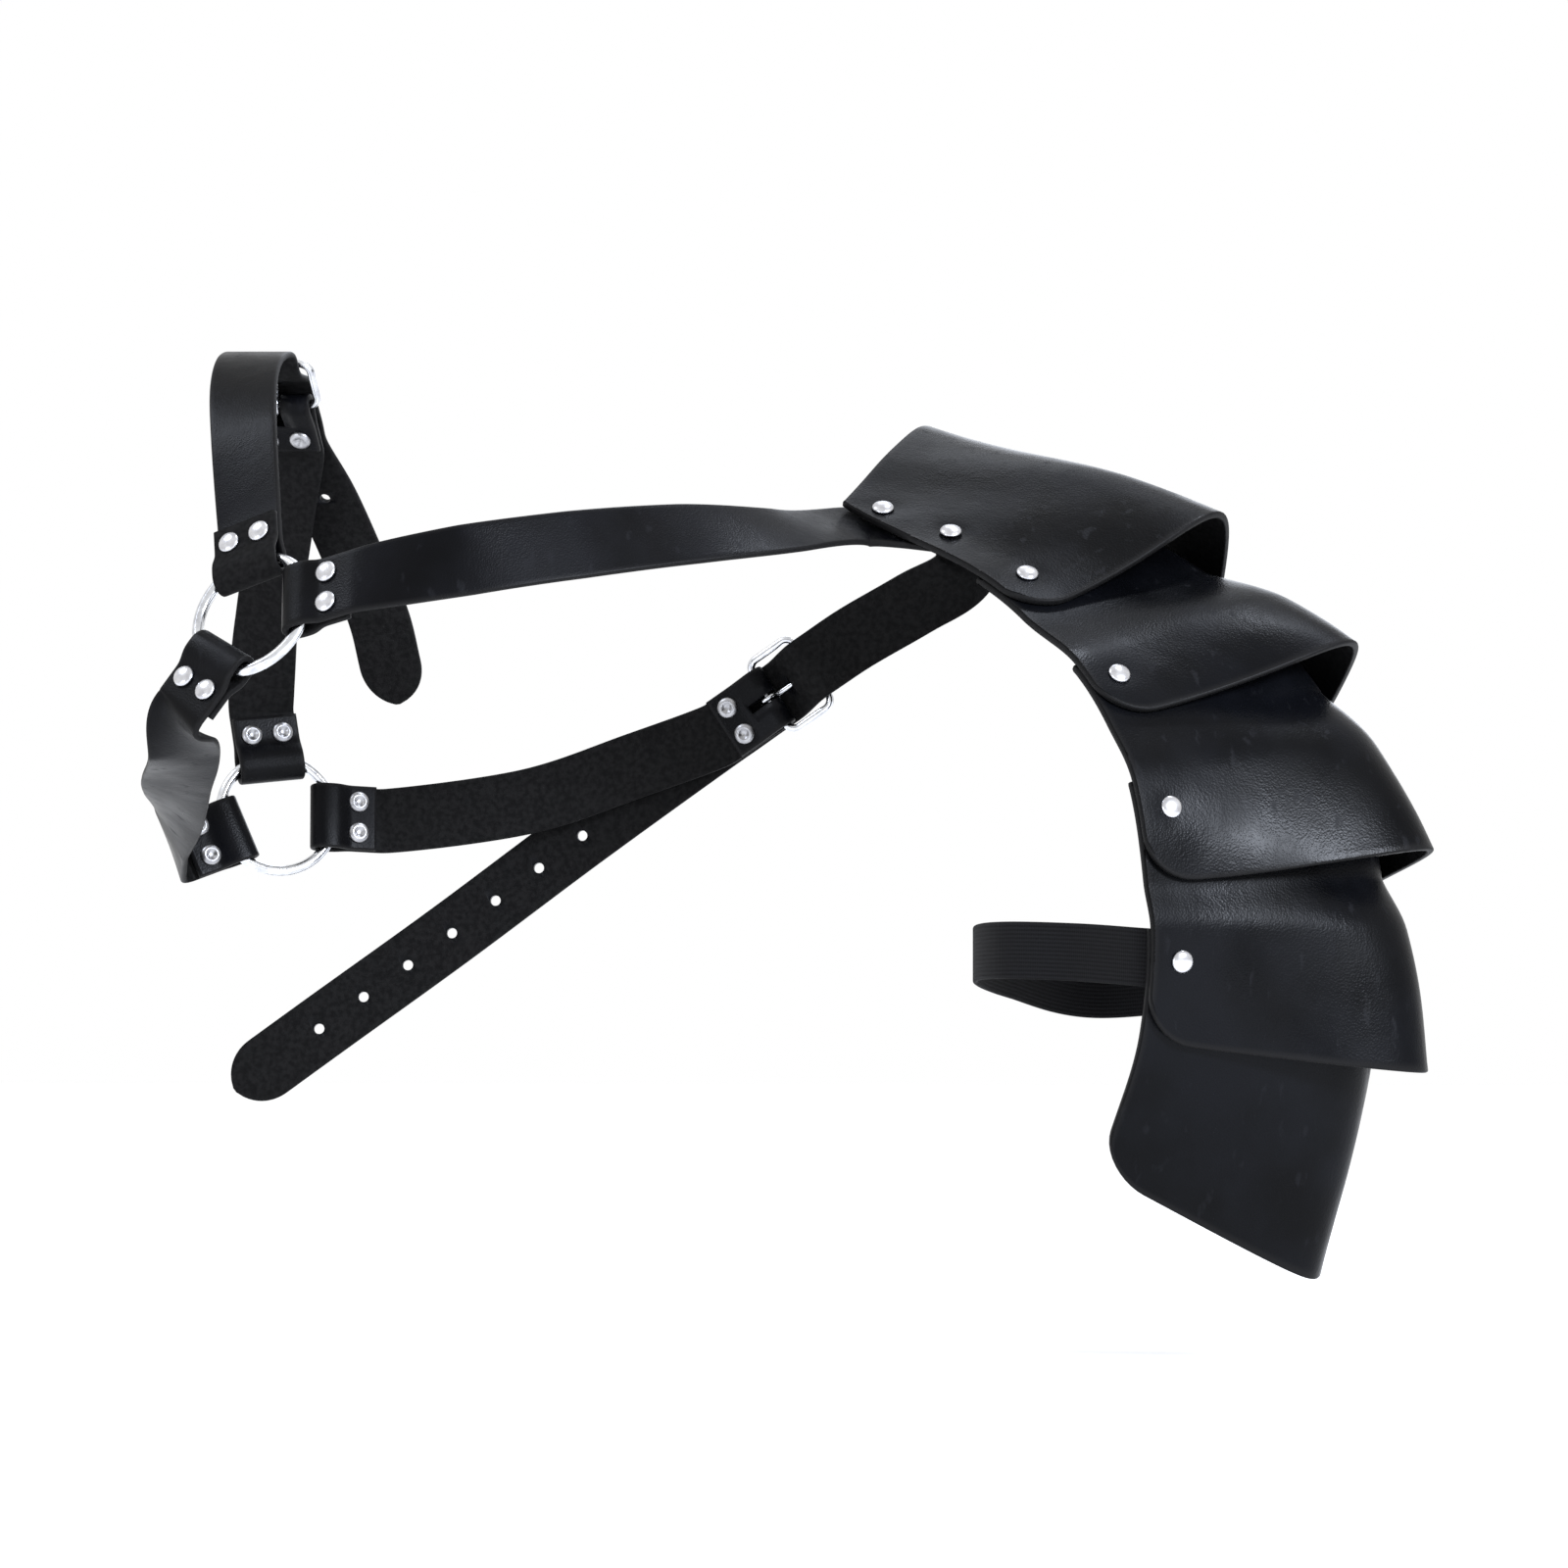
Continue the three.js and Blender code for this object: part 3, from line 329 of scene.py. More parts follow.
def lame_piece(lame, material):
    t, v, edge = lame_grid(lame)
    down, across = t.shape
    surface = lambda a, b: lame_point(lame, a, b)
    middle = surface(t.ravel(), v.ravel())
    normal = normal_of(surface, t.ravel(), v.ravel())
    middle = middle + normal * hand_shaped(middle)[:, None]
    rim = list(range(across - 1))
    rim += [r * across + across - 1 for r in range(down - 1)]
    rim += [(down - 1) * across + c for c in range(across - 1, 0, -1)]
    rim += [r * across for r in range(down - 1, 0, -1)]
    rim = np.array(rim)
    tangent = unit(middle[np.roll(rim, -1)] - middle[np.roll(rim, 1)])
    inward = unit(np.cross(normal[rim], tangent))
    inner_column = middle[2 * across + 1] - middle[2 * across]
    if inward[list(rim).index(2 * across)] @ inner_column < 0:
        inward = -inward
    dent = np.zeros(len(middle))
    for place in rivet_places(lame):
        reach = np.linalg.norm(middle - surface(*place), axis=1)
        dent += RIVET_DENT * np.exp(-((reach / RIVET_DENT_REACH) ** 2))
    half = LAME_LEATHER / 2
    outer = middle + normal * (half - dent)[:, None]
    inner = middle - normal * half
    outer[rim] += inward * RIM_ROUND
    inner[rim] += inward * RIM_ROUND
    loops = [rim]
    places = [outer, inner]
    flesh = [np.zeros(len(middle)), np.ones(len(middle))]
    # Closeness to the rim drives the lighter rim colour, a painted highlight on the burnished edge.
    closeness = np.clip(1 - edge.ravel() / BURNISH_AND_HIGHLIGHT_REACH, 0, 1)
    marks_edge = [closeness, closeness]
    count = 2 * len(middle)
    for k in range(1, 2 * RIM_STEPS):
        is_outer = k <= RIM_STEPS
        turn = (k if is_outer else 2 * RIM_STEPS - k) / RIM_STEPS * math.pi / 2
        lift = (half - RIM_ROUND * (1 - math.cos(turn))) * (1 if is_outer else -1)
        places.append(middle[rim] + inward * RIM_ROUND * (1 - math.sin(turn)) + normal[rim] * lift)
        flesh.append(np.full(len(rim), RIM_FLESH))
        marks_edge.append(np.ones(len(rim)))
        loops.append(np.arange(count, count + len(rim)))
        count += len(rim)
    loops.append(rim + len(middle))
    faces = []
    for r in range(down - 1):
        for c in range(across - 1):
            at = r * across + c
            faces.append((at, at + 1, at + across + 1, at + across))
            below = at + len(middle)
            faces.append((below, below + across, below + across + 1, below + 1))
    for upper, lower in zip(loops, loops[1:]):
        for a, b, c, d in zip(upper, np.roll(upper, -1), np.roll(lower, -1), lower):
            faces.append((int(b), int(a), int(d), int(c)))
    marks = {"flesh": np.concatenate(flesh), "edge": np.concatenate(marks_edge)}
    name = f"lame_{lame}"
    new_piece(f"{name}_leather", np.vstack(places), faces, material, [name], marks)


LEATHER_SHEEN = {"Specular IOR Level": 0.07, "Coat Weight": 0.02, "Coat Roughness": 0.3}
GRAIN_DARK = 0.0012
GRAIN_WORN = 0.0035
SCUFF_COLOUR = (0.01, 0.0105, 0.013, 1)
# Rim and strap-end colour, lighter than the grain: a burnished edge, and a painted highlight where the
# bevel catches the lamps.
EDGE_BURNISH_AND_HIGHLIGHT_COLOUR = (0.0085, 0.0083, 0.0085, 1)
FLESH_DARK = (0.003, 0.003, 0.0032, 1)
FLESH_PALE = (0.0075, 0.0074, 0.0076, 1)
SCUFF_ROUGH = 0.62
FLESH_ROUGH = 0.86


def bumped(nodes, links, height, strength, distance):
    bump = set_inputs(nodes.new("ShaderNodeBump"), {"Strength": strength, "Distance": distance})
    links.new(height, bump.inputs["Height"])
    return bump


def leather(name, grain, sheen_rough, tint):
    """Black bridle leather: a polished grain side, a napped flesh side and a burnished edge whose lighter
    colour is partly a painted highlight.
    """
    material, nodes, links, shader = new_material(name, LEATHER_SHEEN)
    where = nodes.new("ShaderNodeTexCoord").outputs["Object"]

    def noise(scale, detail, stretch=(1, 1, 1)):
        spread = set_inputs(nodes.new("ShaderNodeMapping"), {"Scale": stretch})
        links.new(where, spread.inputs["Vector"])
        texture = set_inputs(nodes.new("ShaderNodeTexNoise"), {"Scale": scale, "Detail": detail})
        links.new(spread.outputs["Vector"], texture.inputs["Vector"])
        return texture.outputs["Fac"]

    def mark(attribute):
        reader = nodes.new("ShaderNodeAttribute")
        reader.attribute_name = attribute
        return reader.outputs["Fac"]

    def ranged(value, low, high, to_low=0, to_high=1):
        limits = {"From Min": low, "From Max": high, "To Min": to_low, "To Max": to_high}
        node = set_inputs(nodes.new("ShaderNodeMapRange"), limits)
        node.interpolation_type = "SMOOTHSTEP"
        links.new(value, node.inputs["Value"])
        return node.outputs["Result"]

    def blended(kind, share, a, b):
        node = nodes.new("ShaderNodeMix")
        node.data_type = kind
        ending = {"RGBA": "Color", "FLOAT": "Float"}[kind]
        sockets = {s.identifier: s for s in node.inputs}
        for side, value in (("A", a), ("B", b)):
            socket = sockets[f"{side}_{ending}"]
            if isinstance(value, bpy.types.NodeSocket):
                links.new(value, socket)
            else:
                socket.default_value = value
        links.new(share, sockets["Factor_Float"])
        return next(s for s in node.outputs if s.identifier == f"Result_{ending}")

    clouds = ranged(noise(scale=26, detail=4), 0.35, 0.7)
    scuffs = ranged(noise(scale=210, detail=5, stretch=(1, 1, 0.35)), 0.58, 0.75)
    flesh, edge = mark("flesh"), mark("edge")
    dark, worn = ((*(grey * t for t in tint), 1) for grey in (GRAIN_DARK, GRAIN_WORN))
    grain_colour = blended("RGBA", clouds, dark, worn)
    grain_colour = blended("RGBA", ranged(scuffs, 0, 1, 0, 0.35), grain_colour, SCUFF_COLOUR)
    # Towards the rims and strap ends the colour turns lighter: a painted highlight on a burnished edge.
    burnish_and_highlight_colour = blended("RGBA", ranged(edge, 0.2, 1, 0, 0.75), grain_colour, EDGE_BURNISH_AND_HIGHLIGHT_COLOUR)
    flesh_colour = blended("RGBA", ranged(noise(scale=520, detail=3), 0.3, 0.7), FLESH_DARK, FLESH_PALE)
    links.new(blended("RGBA", flesh, burnish_and_highlight_colour, flesh_colour), shader.inputs["Base Color"])
    gloss = noise(scale=34, detail=4)
    grain_rough = ranged(gloss, 0.3, 0.7, sheen_rough - 0.07, sheen_rough + 0.1)
    rough = blended("FLOAT", ranged(scuffs, 0, 1, 0, 0.5), grain_rough, SCUFF_ROUGH)
    links.new(blended("FLOAT", flesh, rough, FLESH_ROUGH), shader.inputs["Roughness"])

    pebbles = set_inputs(nodes.new("ShaderNodeTexVoronoi"), {"Scale": grain})
    pebbles.feature = "SMOOTH_F1"
    links.new(where, pebbles.inputs["Vector"])
    height = blended("FLOAT", flesh, pebbles.outputs["Distance"], noise(scale=1500, detail=4))
    creases = noise(scale=95, detail=6, stretch=(1, 1.6, 0.6))
    fine = bumped(nodes, links, height, strength=0.22, distance=0.0003)
    broad = bumped(nodes, links, creases, strength=0.3, distance=0.0006)
    links.new(fine.outputs["Normal"], broad.inputs["Normal"])
    links.new(broad.outputs["Normal"], shader.inputs["Normal"])
    return material


lame_leather = leather("black_lame_leather", grain=1500, sheen_rough=0.3, tint=(0.8, 0.9, 1.25))
for lame in range(1, LAME_COUNT + 1):
    lame_piece(lame, lame_leather)

# Harness straps: six lengths of 25 mm black bridle leather with rounded edges, 2.4 mm thick.
# Their ends are folded round the rings and buckle bars and riveted; two run on as free tails with holes.
STRAP_LEATHER = 2.4
STRAP_WIDTH = 25
STRAP_EDGE = 0.75
# Reach in mm from a strap's edges and ends of the lighter edge colour: a burnished edge and a painted
# highlight.
STRAP_BURNISH_AND_HIGHLIGHT_REACH = 2.4
EDGE_LINE = 2.2
EDGE_POINTS = 5
CAP_RADIUS = 4.0
CAP_HEIGHT = 1.8
RING_RADIUS = 22
RING_WIRE = 4
RING_RIVET_REACH = 31
RING_FLAP_REACH = 38
BUCKLE_LENGTH = 20
BUCKLE_BAR = 3
BUCKLE_RIVET_REACH = 15
BUCKLE_FLAP_REACH = 21
PRONG_WIRE = 2
BAR_EASE = 0.1
TIP_LENGTH = 16
TIP_END = 0.997
TIP_STEPS = 24
TIP_SQUARE = 2.2
TIP_ROUND = 0.625
TIP_LEAST = 0.08
HARNESS = np.array([340, 150, 200])
TURN_STEPS = 12
LEAD_OUT = 3
FREE_STEP = 3
STATION_STEP = 1.2
CURVE_STEP = 1e-4
EASING_ROUNDS = 2
CLOSE_LIFT = (STRAP_LEATHER + LAYER_GAP) / 2


def vec(*numbers):
    return np.array(numbers, float)


def ring_axes(centre, face):
    face = unit(face)
    across = unit(np.cross(up, face))
    return {"centre": centre * HARNESS, "face": face, "across": across, "upright": np.cross(face, across)}


def ring_way(ring, angle):
    return ring["across"] * math.cos(angle) + ring["upright"] * math.sin(angle)


def buckle_axes(centre, along, face):
    along = unit(along)
    side = unit(np.cross(along, face))
    return {"centre": centre * HARNESS, "along": along, "side": side, "face": unit(np.cross(side, along))}


up = vec(0, 0, 1)
RINGS = {
    "front": ring_axes(vec(-0.769, -0.967, -0.255), vec(-0.27, -0.88, 0.4)),
    "back": ring_axes(vec(-0.909, 0.216, -0.557), vec(0.5, -0.85, 0.18)),
}
BUCKLES = {
    "shoulder": buckle_axes(vec(-0.846, -0.24, 0.18), vec(0.04, -0.75, 0.66), vec(0, 0.66, 0.75)),
    "back": buckle_axes(vec(-0.374, 0.507, -0.335), vec(0.83, -0.03, 0.55), vec(0.03, 1, 0.05)),
}

# Rows of the free stretches: across, back and up as shares of the harness, then the outer face
ROUTES = {
    "chest": [
        (-0.544, -0.98, -0.17, -0.05, -1, 0.1),
        (-0.447, -0.84, -0.137, 0.05, -1, 0.2),
        (-0.347, -0.65, -0.107, 0.1, -0.9, 0.4),
        (-0.262, -0.45, -0.088, 0.1, -0.7, 0.65),
    ],
    "shoulder": [
        (-0.815, -0.72, 0.09, -0.2, -0.8, 0.6),
        (-0.832, -0.6, 0.19, -0.1, -0.55, 0.85),
        (-0.84, -0.49, 0.24, 0, -0.15, 1),
    ],
    "rise": [
        (-0.915, 0.16, -0.19, 0.1, 0.95, 0.3),
        (-0.888, 0.053, -0.07, 0.1, 0.9, 0.4),
        (-0.865, -0.05, 0.03, 0.05, 0.8, 0.6),
    ],
    "under": [
        (-0.857, -0.856, -0.49, 0.19, -0.29, -0.94),
        (-0.9, -0.628, -0.534, -0.1, -0.26, -0.96),
        (-0.94, -0.385, -0.572, -0.5, -0.34, -0.79),
        (-0.976, -0.168, -0.6, -0.81, -0.39, -0.44),
    ],
    "back": [
        (-0.645, 0.46, -0.527, 0.05, 1, 0),
        (-0.53, 0.51, -0.46, 0.03, 1, 0.05),
    ],
    "billet": [
        (-0.15, 0.47, -0.105, 0, 0.8, 0.6),
        (-0.206, 0.48, -0.16, 0.05, 0.95, 0.3),
        (-0.276, 0.485, -0.225, 0, 1, 0.1),
    ],
    "short_tail": [
        (-0.83, 0.03, 0.035, 0.05, 0.8, 0.6),
        (-0.813, 0.14, -0.07, 0.1, 0.9, 0.4),
        (-0.793, 0.23, -0.19, 0.1, 0.95, 0.3),
        (-0.786, 0.27, -0.27, 0.1, 0.95, 0.3),
    ],
    "long_tail": [
        (-0.594, 0.56, -0.59, 0, 1, 0.05),
        (-0.747, 0.51, -0.785, 0, 1, 0.05),
        (-0.882, 0.44, -0.955, -0.05, 1, 0.05),
        (-0.944, 0.4, -1.035, -0.05, 1, 0.05),
    ],
}
CHEST_SEAT = [(0.11, -1, 0.9), (0.28, -0.87, 0.1), (0.48, -0.72, 0)]
BILLET_SEAT = [(0.58, 0.83, 0), (0.3, 0.84, 0), (0.03, 0.85, 0)]
BILLET_LEAD = 9
BAR_APPROACH = {"outside": 6, "inside": 2, "clear": 4}


def route_rows(name):
    return [(np.array(row[:3]) * HARNESS, unit(np.array(row[3:], float))) for row in ROUTES[name]]


def ring_anchor(ring, degrees, outside):
    along = ring_way(ring, math.radians(degrees))
    return {"centre": ring["centre"], "along": along, "face": ring["face"] * outside, "fold": ring_fold()}


def heel_anchor(buckle):
    return {**buckle, "along": -buckle["along"], "fold": bar_fold()}


def ring_fold():
    edge_wire = math.sqrt(RING_RADIUS**2 - (STRAP_WIDTH / 2) ** 2)
    wide_lift = RING_WIRE / 2 + 2 * SEAT_GAP + STRAP_LEATHER / 2
    inside = edge_wire - (RING_WIRE / 2) * (RING_RADIUS / edge_wire) - 2 * SEAT_GAP
    return {
        "turn": inside - STRAP_LEATHER / 2 + wide_lift,
        "lift": wide_lift,
        "spread": RING_RADIUS + LAYER_GAP,
        "settle": RING_RIVET_REACH - CAP_RADIUS + LAYER_GAP,
        "end": RING_FLAP_REACH,
    }


def bar_fold():
    return {
        "turn": 0,
        "lift": BUCKLE_BAR / 2 + SEAT_GAP + STRAP_LEATHER / 2 + BAR_EASE,
        "spread": BUCKLE_BAR / 2,
        "settle": BUCKLE_RIVET_REACH - CAP_RADIUS - 2 * LAYER_GAP,
        "end": BUCKLE_FLAP_REACH,
    }


def fold_stations(anchor, flap_side):
    """Stations from the flap's end round the wire and out: place, width direction and width share."""
    side = np.cross(anchor["along"], anchor["face"])
    fold = anchor["fold"]
    leg = [(fold["end"], CLOSE_LIFT), (fold["settle"], CLOSE_LIFT), (fold["spread"], fold["lift"])]
    angles = [math.pi / 2 + k / TURN_STEPS * math.pi for k in range(TURN_STEPS + 1)]
    bend = [(fold["turn"] + fold["lift"] * math.cos(a), fold["lift"] * math.sin(a)) for a in angles]
    return [
        (anchor["centre"] + anchor["along"] * reach + anchor["face"] * lift * flap_side, side, 1)
        for reach, lift in leg + bend + [(reach, -lift) for reach, lift in reversed(leg)]
    ]


def leave_rows(anchor, flap_side):
    lift = anchor["face"] * CLOSE_LIFT * flap_side
    reaches = (anchor["fold"]["end"], anchor["fold"]["end"] + LEAD_OUT)
    return [(anchor["centre"] + anchor["along"] * reach - lift, anchor["face"]) for reach in reaches]


def free_stations(rows):
    places = np.array([place for place, _ in rows])
    spans = len(rows) - 1
    stations = []
    for span in range(spans):
        steps = math.ceil(np.linalg.norm(places[span + 1] - places[span]) / FREE_STEP)
        for i in range(steps + (span == spans - 1)):
            share = i / steps
            t = (span + share) / spans
            nearby = curve_at(places, [max(t - CURVE_STEP, 0), t, min(t + CURVE_STEP, 1)])
            face = rows[span][1] * (1 - share) + rows[span + 1][1] * share
            stations.append((nearby[1], unit(np.cross(nearby[2] - nearby[0], face)), 1))
    return stations


def turned(stations):
    return [(place, -side, share) for place, side, share in reversed(stations)]


def buckle_place(buckle, along, face, side=0):
    return buckle["centre"] + buckle["along"] * along + buckle["side"] * side + buckle["face"] * face


def billet_rows(buckle):
    under = -(BUCKLE_BAR / 2 + 2 * SEAT_GAP + STRAP_LEATHER / 2)
    over = BUCKLE_BAR / 2 + 1.5 * STRAP_LEATHER + 3 * SEAT_GAP
    over_caps = CLOSE_LIFT + STRAP_LEATHER + SEAT_GAP + CAP_HEIGHT + 2 * LAYER_GAP
    rows = [
        (BUCKLE_LENGTH + BAR_APPROACH["outside"], under),
        (BUCKLE_LENGTH - BAR_APPROACH["inside"], under),
        (BAR_APPROACH["outside"], over),
        (0, over),
        (-BUCKLE_RIVET_REACH, over_caps),
        (-BUCKLE_FLAP_REACH - BAR_APPROACH["clear"], over_caps),
    ]
    return [(buckle_place(buckle, along, lift), buckle["face"]) for along, lift in rows]


def under_lame(t, v, slack):
    surface = lambda a, b: lame_point(1, a, b)
    normal = normal_of(surface, np.array([t]), np.array([v]))[0]
    depth = LAME_LEATHER / 2 + 2 * SEAT_GAP + slack + STRAP_LEATHER / 2
    return surface(t, v)[0] - normal * depth, normal


def with_tip(stations):
    end, side, _ = stations[-1]
    along = unit(end - stations[-2][0])
    shares = np.linspace(0, TIP_END, TIP_STEPS)[1:]
    widths = np.maximum(TIP_LEAST, (1 - shares**TIP_SQUARE) ** TIP_ROUND)
    return stations + [(end + along * s * TIP_LENGTH, side, width) for s, width in zip(shares, widths)]


def hung_strap(anchor, flap_side, rows):
    """Stations of a strap that is folded round a wire and follows the rows from there."""
    return fold_stations(anchor, flap_side) + free_stations([*leave_rows(anchor, flap_side), *rows])[1:]


def joining_strap(start, route, end):
    """Stations of a strap that is folded round a wire at both ends."""
    rows = [*route_rows(route), *reversed(leave_rows(end, -1))]
    return hung_strap(start, -1, rows)[:-1] + turned(fold_stations(end, -1))


def even_stations(stations):
    """The same route with even steps, its creases eased as leather eases them."""
    places = np.array([s[0] for s in stations])
    sides = np.array([s[1] for s in stations])
    shares = np.array([s[2] for s in stations], float)
    reach = np.concatenate([[0], np.cumsum(np.linalg.norm(np.diff(places, axis=0), axis=1))])
    wanted = np.linspace(0, reach[-1], max(2, round(reach[-1] / STATION_STEP)) + 1)
    inbetween = lambda values: np.array([np.interp(wanted, reach, column) for column in values.T]).T
    places, sides = inbetween(places), unit(inbetween(sides))
    shares = np.interp(wanted, reach, shares)
    for _ in range(EASING_ROUNDS):
        places[1:-1] = (places[:-2] + 2 * places[1:-1] + places[2:]) / 4
        sides[1:-1] = (sides[:-2] + 2 * sides[1:-1] + sides[2:]) / 4
    return places, unit(sides), shares, wanted


def strap_section(width, thickness, rounding):
    """Places once round a strap, each across it and through it, with rounded edges."""
    half, through = width / 2, thickness / 2
    turns = np.linspace(0, math.pi / 2, EDGE_POINTS)
    corner = [(half - rounding * (1 - math.sin(a)), through - rounding * (1 - math.cos(a))) for a in turns]
    flat = [-half + rounding, -half + EDGE_LINE, -half / 2, 0, half / 2, half - EDGE_LINE]
    section = [(a, through) for a in flat] + corner
    section += [(a, -b) for a, b in reversed(corner)]
    section += [(-a, -through) for a in flat[1:]]
    section += [(-a, -b) for a, b in corner]
    section += [(-a, b) for a, b in reversed(corner)]
    return np.array(section[:-1])


def strap_body(stations, width, thickness, rounding):
    places, sides, shares, reach = even_stations(stations)
    along = np.empty_like(places)
    along[1:-1] = places[2:] - places[:-2]
    along[0], along[-1] = places[1] - places[0], places[-1] - places[-2]
    along = unit(along)
    face = unit(np.cross(sides, along))
    sides = np.cross(along, face)
    section = strap_section(width, thickness, rounding)
    around = len(section)
    points = (
        places[:, None, :]
        + sides[:, None, :] * (section[None, :, :1] * shares[:, None, None])
        + face[:, None, :] * section[None, :, 1:]
    ).reshape(-1, 3)
    faces = [tuple(range(around)), tuple((len(places) - 1) * around + k for k in reversed(range(around)))]
    for i in range(len(places) - 1):
        for k in range(around):
            a, b = i * around + k, i * around + (k + 1) % around
            faces.append((a, a + around, b + around, b))
    through = np.tile(section[:, 1] / (thickness / 2), len(places))
    flesh = np.clip(0.5 - 0.5 * through, 0, 1)
    aside = np.tile(section[:, 0], len(places))
    from_edge = (width / 2 - np.abs(aside)) * np.repeat(shares, around)
    from_end = np.repeat(np.minimum(reach, reach[-1] - reach), around)
    # The edge mark paints the strap's edges and ends lighter: a painted highlight on the burnished edge.
    edge = np.clip(1 - np.minimum(from_edge, from_end) / STRAP_BURNISH_AND_HIGHLIGHT_REACH, 0, 1)
    uv = np.column_stack([np.repeat(reach, around), aside])
    return points, facing_out(points, faces), {"flesh": flesh, "edge": edge}, uv


def signed_volume(points, faces):
    total = 0.0
    for f in faces:
        for i in range(1, len(f) - 1):
            total += np.dot(points[f[0]], np.cross(points[f[i]], points[f[i + 1]]))
    return total


def facing_out(points, faces):
    return [tuple(reversed(f)) for f in faces] if signed_volume(points, faces) < 0 else faces


def rod_cutter(centre, axis, radius, length, sides=24):
    """A plain rod that cuts a hole and is then deleted."""
    across = unit(np.cross(axis, up if abs(axis[2]) < 0.9 else vec(1, 0, 0)))
    other = np.cross(axis, across)
    turns = [2 * math.pi * k / sides for k in range(sides)]
    rim = [across * math.cos(a) + other * math.sin(a) for a in turns]
    points = [centre + r * radius + axis * length * end for end in (-0.5, 0.5) for r in rim]
    faces = [(k, (k + 1) % sides, sides + (k + 1) % sides, sides + k) for k in range(sides)]
    faces += [tuple(reversed(range(sides))), tuple(range(sides, 2 * sides))]
    return points, facing_out(points, faces)


def cut(piece, cutters):
    points, faces = [], []
    for cutter_points, cutter_faces in cutters:
        base = len(points)
        points += [tuple(p / 1000) for p in cutter_points]
        faces += [tuple(base + k for k in f) for f in cutter_faces]
    mesh = bpy.data.meshes.new("cutter")
    mesh.from_pydata(points, [], faces)
    mesh.update()
    cutter = bpy.data.objects.new("cutter", mesh)
    scene.collection.objects.link(cutter)
    knife = piece.modifiers.new("cut", "BOOLEAN")
    knife.operation = "DIFFERENCE"
    knife.solver = "EXACT"
    knife.object = cutter
    evaluated = piece.evaluated_get(bpy.context.evaluated_depsgraph_get())
    result = bpy.data.meshes.new_from_object(evaluated)
    piece.modifiers.remove(knife)
    old, piece.data = piece.data, result
    bpy.data.meshes.remove(old)
    bpy.data.objects.remove(cutter)
    bpy.data.meshes.remove(mesh)


def hole_cutters(stations, first, count):
    places, sides, _, reach = even_stations(stations)
    cutters = []
    for k in range(count):
        at = reach[-1] - first - k * HOLE_PITCH
        i = int(np.searchsorted(reach, at))
        along = unit(places[i + 1] - places[i - 1])
        centre = np.array([np.interp(at, reach, column) for column in places.T])
        cutters.append(rod_cutter(centre, unit(np.cross(sides[i], along)), HOLE_RADIUS, 3 * STRAP_LEATHER))
    return cutters


def pin_cutter(buckle):
    lift = BUCKLE_BAR / 2 + SEAT_GAP + PRONG_WIRE / 2
    length = BUCKLE_LENGTH + BAR_APPROACH["outside"]
    middle = buckle_place(buckle, length / 2 - BAR_APPROACH["inside"], lift)
    return rod_cutter(middle, buckle["along"], PRONG_WIRE / 2 + SEAT_GAP, length)


def slot_cutter(buckle):
    reach = BUCKLE_BAR + PRONG_WIRE + 2 * SEAT_GAP + STRAP_LEATHER
    half = (PRONG_WIRE + 4 * SEAT_GAP) / 2
    ends = [(a * reach, c * reach, b * half) for a in (-1, 1) for b in (-1, 1) for c in (-1, 1)]
    points = [buckle_place(buckle, *end) for end in ends]
    faces = [(0, 1, 3, 2), (4, 6, 7, 5), (0, 4, 5, 1), (2, 3, 7, 6), (0, 2, 6, 4), (1, 5, 7, 3)]
    return points, facing_out(points, faces)


anchors = {
    "shoulder": ring_anchor(RINGS["front"], 109, 1),
    "chest": ring_anchor(RINGS["front"], 14.5, 1),
    "under_front": ring_anchor(RINGS["front"], 242.5, 1),
    "rise": ring_anchor(RINGS["back"], 96.5, -1),
    "back": ring_anchor(RINGS["back"], 357.5, -1),
    "under_back": ring_anchor(RINGS["back"], 201, -1),
    "shoulder_heel": heel_anchor(BUCKLES["shoulder"]),
    "back_heel": heel_anchor(BUCKLES["back"]),
}
chest_seat = [under_lame(*row) for row in CHEST_SEAT]
seat = [under_lame(*row) for row in BILLET_SEAT]
leave = unit(seat[-1][0] - seat[-2][0]) * BILLET_LEAD
lead = (seat[-1][0] + leave - seat[-1][1] * STRAP_LEATHER, seat[-1][1])
STRAPS = {
    "shoulder_strap": with_tip(hung_strap(anchors["shoulder"], 1, [
        *route_rows("shoulder"), *billet_rows(BUCKLES["shoulder"]), *route_rows("short_tail"),
    ])),
    "rear_strap": joining_strap(anchors["rise"], "rise", anchors["shoulder_heel"]),
    "side_strap": joining_strap(anchors["under_front"], "under", anchors["under_back"]),
    "chest_strap": hung_strap(anchors["chest"], -1, [*route_rows("chest"), *chest_seat]),
    "back_strap": joining_strap(anchors["back"], "back", anchors["back_heel"]),
    "back_billet": with_tip(free_stations([
        *seat, lead, *route_rows("billet"), *billet_rows(BUCKLES["back"]), *route_rows("long_tail"),
    ])),
}
HOLE_PITCH = 21
HOLE_RADIUS = 2
SHORT_TAIL_HOLES = {"first": 88, "count": 2}
LONG_TAIL_HOLES = {"first": 40, "count": 7}
CUTS = {
    "shoulder_strap": [
        pin_cutter(BUCKLES["shoulder"]), *hole_cutters(STRAPS["shoulder_strap"], **SHORT_TAIL_HOLES),
    ],
    "rear_strap": [slot_cutter(BUCKLES["shoulder"])],
    "back_strap": [slot_cutter(BUCKLES["back"])],
    "back_billet": [pin_cutter(BUCKLES["back"]), *hole_cutters(STRAPS["back_billet"], **LONG_TAIL_HOLES)],
}
strap_leather = leather("black_strap_leather", grain=1900, sheen_rough=0.34, tint=(0.85, 0.92, 1.3))
